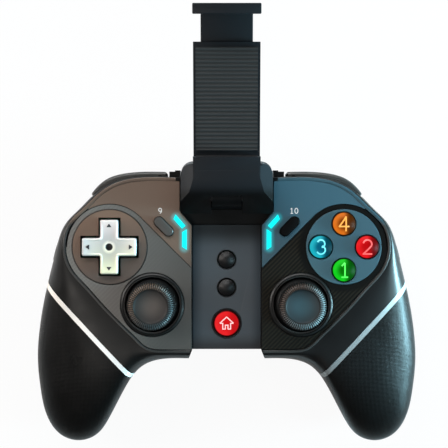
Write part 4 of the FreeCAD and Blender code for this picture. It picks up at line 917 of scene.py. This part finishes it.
HOUSE_SIDE = ([(0.52, 0.02), (0.27, 0.02)], [(0.3, 0.06), (0.3, -0.44)], [(0.34, -0.42), (0.08, -0.42)],
              [(0.1, -0.44), (0.1, -0.1)])
GLYPHS = {
    "0": [arc(0, 0, 0.27, 0.46, 0, 360, 24)],
    "1": [[(-0.17, 0.28), (0.04, 0.48), (0.04, -0.46)], [(-0.18, -0.46), (0.26, -0.46)]],
    "2": [arc(0, 0.2, 0.28, 0.27, 170, -38, 16) + [(-0.27, -0.46)], [(-0.31, -0.46), (0.32, -0.46)]],
    "3": [arc(0, 0.22, 0.25, 0.25, 155, -80, 14), arc(0, -0.2, 0.28, 0.27, 78, -155, 16)],
    "4": [[(0.12, -0.5), (0.12, 0.48)], [(0.14, 0.48), (-0.32, -0.18)], [(-0.36, -0.18), (0.34, -0.18)]],
    "9": [arc(0, 0.18, 0.26, 0.28, 0, 360, 20), [(0.26, 0.18), (0.22, -0.2), (0.0, -0.48)]],
    "house": [[(-0.52, 0.02), (0.0, 0.5), (0.52, 0.02)],
              *([(sign * x, y) for x, y in stroke] for stroke in HOUSE_SIDE for _, sign in SIDES),
              [(-0.14, -0.12), (0.14, -0.12)]],
}


def stroke_loops(points, width, surface, rise):
    """A stroke as loops of four corners, on a surface that gives a height for a distance from its centre.

    Long stretches are cut into short ones, so that the stroke follows a dome.
    """
    reach = reach_along(points)
    even = np.unique(np.concatenate([reach, np.linspace(0, reach[-1], max(3, int(reach[-1] / 0.35)))]))
    line = line_at(points, even)
    side = left_of(line) * width / 2

    def at(flat, lift):
        return lifted(flat, surface(np.linalg.norm(flat, axis=1)) + lift)

    return np.stack([at(line + side, rise), at(line + side, -MARK_SINK), at(line - side, -MARK_SINK),
                     at(line - side, rise)], axis=1)


def make_marks(name, words, size, width, centre, surface, rise=0.05):
    """Numerals or a sign on a surface, each stroke a closed bar of its own, all in one mesh."""
    corners, faces, count = [], [], 0
    for place, word in enumerate(words):
        shift = np.array([(place - (len(words) - 1) / 2) * MARK_ADVANCE, 0.0])
        for points in GLYPHS[word]:
            loops = stroke_loops((np.asarray(points) + shift) * size, width, surface, rise)
            flat = loops.reshape(-1, 3)
            end = len(flat) - 1
            corners.append(flat + (centre[0], centre[1], 0.0))
            faces.append(quads(len(loops), 4, wrap_cols=True, start=count))
            faces.append(np.array([[3, 2, 1, 0], [end - 3, end - 2, end - 1, end]]) + count)
            count += len(flat)
    return mesh_object(name, np.vstack(corners), faces)


# Buttons

FACE_CAP = {"radius": 4.8, "base": 29.2, "top": 36.4, "dome": 1.5, "edge": 0.5}
MENU_CAP = {"radius": 3.5, "base": 26.0, "top": 32.1, "dome": 1.3, "edge": 0.4}
HOME_CAP = {"radius": 5.5, "base": 26.0, "top": 32.1, "dome": 0.7, "edge": 0.5}
BUTTON_SPREAD = 9.5
HOME = (0.0, -25.7)
MENU_BUTTONS = (("upper_menu", 0.6), ("lower_menu", -10.9))


def crown_of(cap):
    """The height of a cap's round crown as a function of the distance from its middle."""
    return lambda reach: cap["top"] - cap["dome"] * (reach / (cap["radius"] - cap["edge"])) ** 2


def make_round_button(name, centre, radius, base, top, dome, edge):
    """A domed cap: an upright side, a small rolled edge and a round crown, turned about its middle."""
    low = top - dome - edge
    inner = radius - edge
    profile = [(radius, base), (radius, low)]
    profile += [(inner + edge * math.cos(t), low + edge * math.sin(t)) for t in np.linspace(0, 1.3, 6)[1:]]
    profile += [(inner * s, top - dome * s ** 2) for s in np.linspace(1, 0.05, 16)[1:]]
    return stack(name, turned_loops(profile, centre, 96))


def make_gap_shade_hoop(name, y, radius, width):
    """A thin dark hoop in the strip round a button, its two upper edges broken: a dark piece that stands in
    for the shade in the gap round the button.
    """
    foot, wall, top = 30.6, 31.05, 31.12
    profile = [(radius, foot), (radius, wall), (radius + 0.08, top), (radius + width - 0.1, top),
               (radius + width, wall - 0.03), (radius + width, foot)]
    settle(hoop(name, turned_loops(profile, (0.0, y), 96)), button_black, "housing")


# Place on the disc, angle, numeral, then the colours of heart, glow and numeral
FACE_BUTTONS = (
    ("top", 90, "4", (0.130, 0.022, 0.001), (0.72, 0.17, 0.012), (1.0, 0.44, 0.08)),
    ("left", 180, "3", (0.001, 0.100, 0.190), (0.012, 0.440, 0.540), (0.16, 0.78, 0.90)),
    ("right", 0, "2", (0.50, 0.003, 0.005), (0.80, 0.010, 0.014), (1.0, 0.14, 0.14)),
    ("bottom", 270, "1", (0.001, 0.150, 0.001), (0.006, 0.62, 0.014), (0.10, 1.0, 0.12)))
for word, angle, numeral, heart, glow, bright in FACE_BUTTONS:
    centre = DISC + BUTTON_SPREAD * direction(angle)
    node = "face_button_" + word
    settle(make_round_button(node + "_cap", centre, **FACE_CAP),
           lens("lens_" + word, heart, glow, centre, FACE_CAP["radius"], 0.2), node, replaces=[node])
    settle(make_marks(node + "_numeral", [numeral], 6.2, 0.62, centre, crown_of(FACE_CAP)),
           glowing("numeral_" + word, bright, 1.1), node)

for word, y in MENU_BUTTONS:
    node = word + "_button"
    settle(make_round_button(node + "_cap", (0.0, y), **MENU_CAP), button_black, node, replaces=[node])
    # A dark hoop as painted shade in the gap round the button.
    make_gap_shade_hoop(word + "_edge", y, 3.8, 0.3)

# Here the painted shade on the right is weak, and the painted black shadow starts further in.
home_lens = lens("home_lens", (0.66, 0.007, 0.010), (0.80, 0.018, 0.022), HOME, HOME_CAP["radius"], 0.8, 0.93)
settle(make_round_button("home_button_cap", HOME, **HOME_CAP), home_lens, "home_button",
       replaces=["home_button"])
settle(make_marks("home_sign", ["house"], 5.4, 0.44, HOME, crown_of(HOME_CAP)), mark_pink, "home_button")
make_gap_shade_hoop("home_edge", HOME[1], 5.75, 0.6)

for word, finish, numerals, x in (("select", button_grey, "9", -27.3), ("start", start_black, "10", 27.6)):
    node = word + "_button"
    settle(refined(node, node + "_cap", 0.35, 3), finish, node, 20, [node])
    settle(make_marks(word + "_mark", numerals, 2.3, 0.34, (x, 20.7), lambda reach: FACE_HEIGHT, 0.02),
           mark_white, "housing")


def make_cross():
    """Direction cross: a rounded cross outline, rolled at its edge, dished, with a round hole in its middle.

    Inside the edge the loops turn from the cross into a circle, and the height follows the distance from
    the middle, so that the dish is one smooth bowl.
    """
    half, arm = 11.15, 3.7
    base, shoulder, roll, inset, bowl = 32.3, 35.7, 0.95, 0.75, 0.4
    tip = np.array([(half, -arm), (half, arm), (arm, arm)])
    outline = round_corners(np.concatenate(quarter_turns(tip)), 0.8)
    outline = np.vstack([outline, outline[:1]])
    outline = line_at(outline, np.linspace(0, reach_along(outline)[-1], 360, endpoint=False))
    turns = np.linspace(0, math.pi / 2, 6)[1:]
    loops = flat_loops(outline, [base, shoulder, *(shoulder + roll * np.sin(turns))],
                       [0.0, 0.0, *(inset * (1 - np.cos(turns)))])
    inner = loops[-1][:, :2]
    circle = inner / np.linalg.norm(inner, axis=1, keepdims=True)
    dish = []
    for share in np.linspace(0, 1, 16)[1:]:
        flat = inner * (1 - share) + circle * 1.55 * share
        reach = np.linalg.norm(flat, axis=1) / half
        dish.append(lifted(flat, shoulder + roll - bowl * (1 - reach ** 2) * min(1.0, 5 * share)))
    for radius, height in ((1.4, 36.15), (1.2, 35.8), (0.6, 35.6)):
        dish.append(lifted(circle * radius, height))
    return stack("dpad_cross_top", np.concatenate([loops, dish]) + (*LEFT_DISC, 0.0))


def make_cross_arrows():
    """Four small dark triangles near the ends of the arms, each a closed low prism."""
    triangle = np.array([(8.1, -1.0), (9.6, 0.0), (8.1, 1.0)])
    corners, faces = [], []
    for quarter, flat in enumerate(quarter_turns(triangle)):
        corners += [lifted(flat + LEFT_DISC, z) for z in (36.0, 36.66)]
        faces.append(quads(2, 3, wrap_cols=True, start=6 * quarter))
        faces.append(np.array([[2, 1, 0], [3, 4, 5]]) + 6 * quarter)
    return mesh_object("dpad_arrows", np.vstack(corners), faces)


settle(make_cross(), cross_silver, "dpad_cross", replaces=["dpad_cross"])
settle(make_cross_arrows(), mark_dark, "dpad_cross", soft_angle=20)


def make_stick(name, centre):
    """Thumb cap: a round dome, a neck, a ribbed shoulder and a concave dish, all one turned surface.

    The dome is two spheres about the stick's pivot, so it clears what lies under it at every tilt. The
    ribs are a cosine of the turn, added to the radius on the shoulder alone.
    """
    def dome(radius, *turns):
        return [(radius * math.sin(t), STICK_PIVOT + radius * math.cos(t))
                for t in np.radians(np.linspace(*turns))]

    skirt = dome(11.2, 2, 84, 9) + dome(12.2, 84, 28, 12)
    neck = [(5.6, 39.4), (8.6, 39.8), (9.5, 40.2), (9.7, 40.9), (9.7, 41.6)]
    shoulder = [(9.7 - 2.3 * (1 - math.cos(t)), 42.2 + 3.2 * math.sin(t))
                for t in np.linspace(0, math.pi / 2, 12)]
    lip = [(7.15, 45.4), (6.9, 45.35), (6.75, 45.0)]
    dish = [(6.7 * s, 44.0 + 0.9 * s ** 2) for s in np.linspace(0.95, 0.06, 14)]
    first = len(skirt + neck)

    def wave(turn, row):
        return np.where((row >= first) & (row < first + len(shoulder)), 0.17 * np.cos(RIBS * turn), 0.0)

    return stack(name, turned_loops(skirt + neck + shoulder + lip + dish, centre, 8 * RIBS, wave))


BEZEL = [(11.9, 32.6), (11.9, 34.3), (12.1, 34.5), (12.6, 34.35), (13.0, 33.95), (13.2, 33.7), (13.2, 32.6)]
BEZEL_LINE = [(11.3, 32.6), (11.3, 34.0), (11.45, 34.2), (11.75, 34.2), (11.9, 34.05), (11.9, 32.6)]
for (side, sign), finish in zip(SIDES, (stick_left, stick_right)):
    centre = STICK * (sign, 1)
    settle(make_stick(side + "_stick_top", centre), finish, side + "_stick_cap",
           replaces=[side + "_stick_cap"])
    settle(hoop(side + "_stick_bezel", turned_loops(BEZEL, centre, 128)), ring_satin, "housing",
           replaces=[side + "_stick_ring"])
    # The line ring's lighter grey is a painted highlight on the bezel's inner edge.
    settle(hoop(side + "_stick_line", turned_loops(BEZEL_LINE, centre, 128)), ring_line, "housing")


# Shoulders

def round_ends(reach, steepness, loss):
    """The share a bar's section keeps along it: all of it, less loss at either end, as a quarter circle."""
    ends = np.clip(np.minimum(reach, 1 - reach) * steepness, 0.0, 1.0)
    return 1.0 - loss * (1 - np.sqrt(np.maximum(1 - (1 - ends) ** 2, 0)))


def make_bumper():
    """Right bumper: a rounded bar carried along the shoulder, thinning out at its far end."""
    deep, proud = 2.5, 1.7
    start = crossing(0.0, 1.0, 2.0, (BUMPER_START, 0.0), ACROSS)
    finish = crossing(0.0, 3.0, 5.5, BUMPER_END, BUMPER_OUT)
    flat = through(EDGE, np.linspace(start, finish, 70))
    reach = np.linspace(0, 1, len(flat))
    stands = proud - 1.55 * np.clip((reach - 0.6) / 0.4, 0, 1) ** 1.7
    shape = rounded_rect(-deep, 1.0, 22.3, 31.5, 1.2, 5)
    share = (shape[:, 0] + deep) / (1.0 + deep)
    middle = np.array([-0.6, 26.9])
    loops = []
    for point, outward, stand, shrink in zip(flat, left_of(flat), stands, round_ends(reach, 45, 0.35)):
        section = np.column_stack([share * (stand + deep) - deep, shape[:, 1]])
        section = middle + (section - middle) * shrink
        loops.append(np.column_stack([point + outward * section[:, :1], section[:, 1]]))
    return stack("right_bumper_bar", loops)


def make_trigger():
    """Right trigger: a rounded paddle carried along its own line in plan."""
    flat = smooth_line(TRIGGER_LINE, 70)
    shape = rounded_rect(-9.0, 0.0, 3.8, 15.0, 2.2, 6)
    shrink = round_ends(np.linspace(0, 1, len(flat)), 30, 0.2)
    middle = np.array([-4.5, 9.4])
    section = middle + (shape[None] - middle) * shrink[:, None, None]
    outward = left_of(flat)[:, None]
    loops = np.concatenate([flat[:, None] + outward * section[:, :, :1], section[:, :, 1:]], axis=2)
    return stack("right_trigger_paddle", loops)


for node, maker in (("right_bumper", make_bumper), ("right_trigger", make_trigger)):
    settle_pair(maker(), shoulder_grey, shoulder_grey, node, [node])


# Phone holder, light guides and what keeps its CAD shape

for node, width, body in (("holder_base", 0.45, "holder"), ("jaw_slide", 0.4, "jaw"),
                          ("holder_back_cover", 0.3, "holder")):
    settle(refined(node, node + "_shell", width, 3), holder_satin, body, 20, [node])
settle(refined("light_guides", "light_bars", 0.12), light_cyan, "housing", 20, ["light_guides"])

CARRIED = (
    (shell_satin, ["front_housing"]), (shell_matte, ["rear_housing"]), (board_green, ["main_board"]),
    (cell_foil, ["battery"]), (silicone, ["rubber_domes"]),
    (pad_soft, ["holder_back_pad", "shelf_pad", "jaw_pad"]),
    (steel_black, ["bumper_pins", "trigger_pins", "holder_bracket"]),
    (steel_plain, ["charging_port", "housing_screws", "bracket_screws", "holder_hinge_pin", "holder_springs",
                   "left_stick_stem", "right_stick_stem"]),
    (inner_grey, ["shoulder_switches", "dpad_cradle", "dpad_carrier", "left_stick_module",
                  "right_stick_module", "left_stick_rocker", "right_stick_rocker"]))
for finish, nodes in CARRIED:
    for node in nodes:
        dress(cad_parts[node], finish)


# Stage, light and camera, in metres

FLOOR_REACH = 6.0
FLOOR_HEIGHT = -0.0003


def make_stage():
    """A wide pale floor just under the pad, mostly given off towards the camera so that it stays white."""
    mesh = bpy.data.meshes.new("floor")
    mesh.from_pydata([(x * FLOOR_REACH, y * FLOOR_REACH, FLOOR_HEIGHT)
                      for x, y in ((-1, -1), (1, -1), (1, 1), (-1, 1))], [], [(0, 1, 2, 3)])
    floor = placed("floor", mesh)
    finish = Finish("floor_white")
    finish.paint((0.80, 0.80, 0.80), 0.01, 3.0)
    tree = finish.tree
    seen, glossy, passed = (read(tree, "LightPath", kind)
                            for kind in ("Is Camera Ray", "Is Glossy Ray", "Is Transmission Ray"))
    share = calc("MAXIMUM", seen * 0.94, calc("MAXIMUM", glossy, passed) * 0.2)
    glow = read(tree, "Emission", 0, {"Color": (1, 1, 1, 1), "Strength": 1.0})
    shaded = Reading(tree, finish.shader.outputs[0])
    blend = read(tree, "MixShader", 0, {0: share, 1: shaded, 2: glow})
    feed(tree.nodes["Material Output"], {"Surface": blend})
    dress(floor, finish.done({"Roughness": 0.9, "Specular IOR Level": 0.0}))


def make_lamp(name, place, aim, size, power, colour):
    """A soft rectangular lamp that faces a point."""
    lamp = bpy.data.lights.new(name, "AREA")
    lamp.shape = "RECTANGLE"
    lamp.size, lamp.size_y = size
    lamp.energy = power
    lamp.color = colour
    obj = placed(name, lamp)
    obj.location = place
    obj.rotation_euler = (Vector(place) - Vector(aim)).to_track_quat("Z", "Y").to_euler()
    obj.visible_camera = False


def make_world():
    """Even light that weakens towards the zenith, to keep level glossy faces dark; white to the camera."""
    world = bpy.data.worlds.new("studio")
    bpy.context.scene.world = world
    world.use_nodes = True
    tree = world.node_tree
    tree.nodes.clear()
    direction = read(tree, "TexCoord", "Generated")
    up = read(tree, "SeparateXYZ", "Z", {0: direction})
    seen = read(tree, "LightPath", "Is Camera Ray")
    strength = calc("MAXIMUM", up.ease(0.10, 0.80, 0.15, 0.05), seen)
    light = read(tree, "Background", 0, {"Color": (1, 1, 1, 1), "Strength": strength})
    add(tree, "OutputWorld", {"Surface": light})


def make_camera():
    """A long lens straight above the pad."""
    camera = bpy.data.cameras.new("camera")
    camera.lens = 88.2
    camera.sensor_width = 36.0
    camera.clip_start = 0.01
    obj = placed("camera", camera)
    obj.location = (-0.0011, 0.0153, 0.484)
    bpy.context.scene.camera = obj


make_stage()
make_world()
# Name, place, aim, size, power, colour
for lamp in (
        ("left_lamp", (-0.85, 0.25, 0.42), (0, 0, 0.02), (0.35, 0.7), 5.2, (1.0, 0.95, 0.90)),
        ("right_lamp", (0.68, -0.15, 0.48), (0.06, 0, 0.03), (0.14, 0.60), 2.8, (0.60, 0.90, 1.0)),
        ("right_edge_lamp", (0.62, -0.05, 0.06), (0.075, -0.05, 0.03), (0.18, 0.24), 15.0, (0.45, 0.86, 1.0)),
        ("band_lamp_left", (-0.33, -0.27, 0.95), (-0.05, -0.02, 0.03), (0.22, 0.12), 1.0, (1.0, 0.94, 0.88)),
        ("band_lamp_right", (0.35, -0.26, 0.95), (0.05, -0.02, 0.03), (0.20, 0.10), 0.3, (0.66, 0.86, 1.0)),
        ("top_lamp", (-0.15, 0.85, 0.60), (0, 0, 0.02), (1.0, 0.3), 8.0, (1.0, 1.0, 1.0))):
    make_lamp(*lamp)
make_camera()
bpy.context.scene.view_settings.view_transform = "Standard"
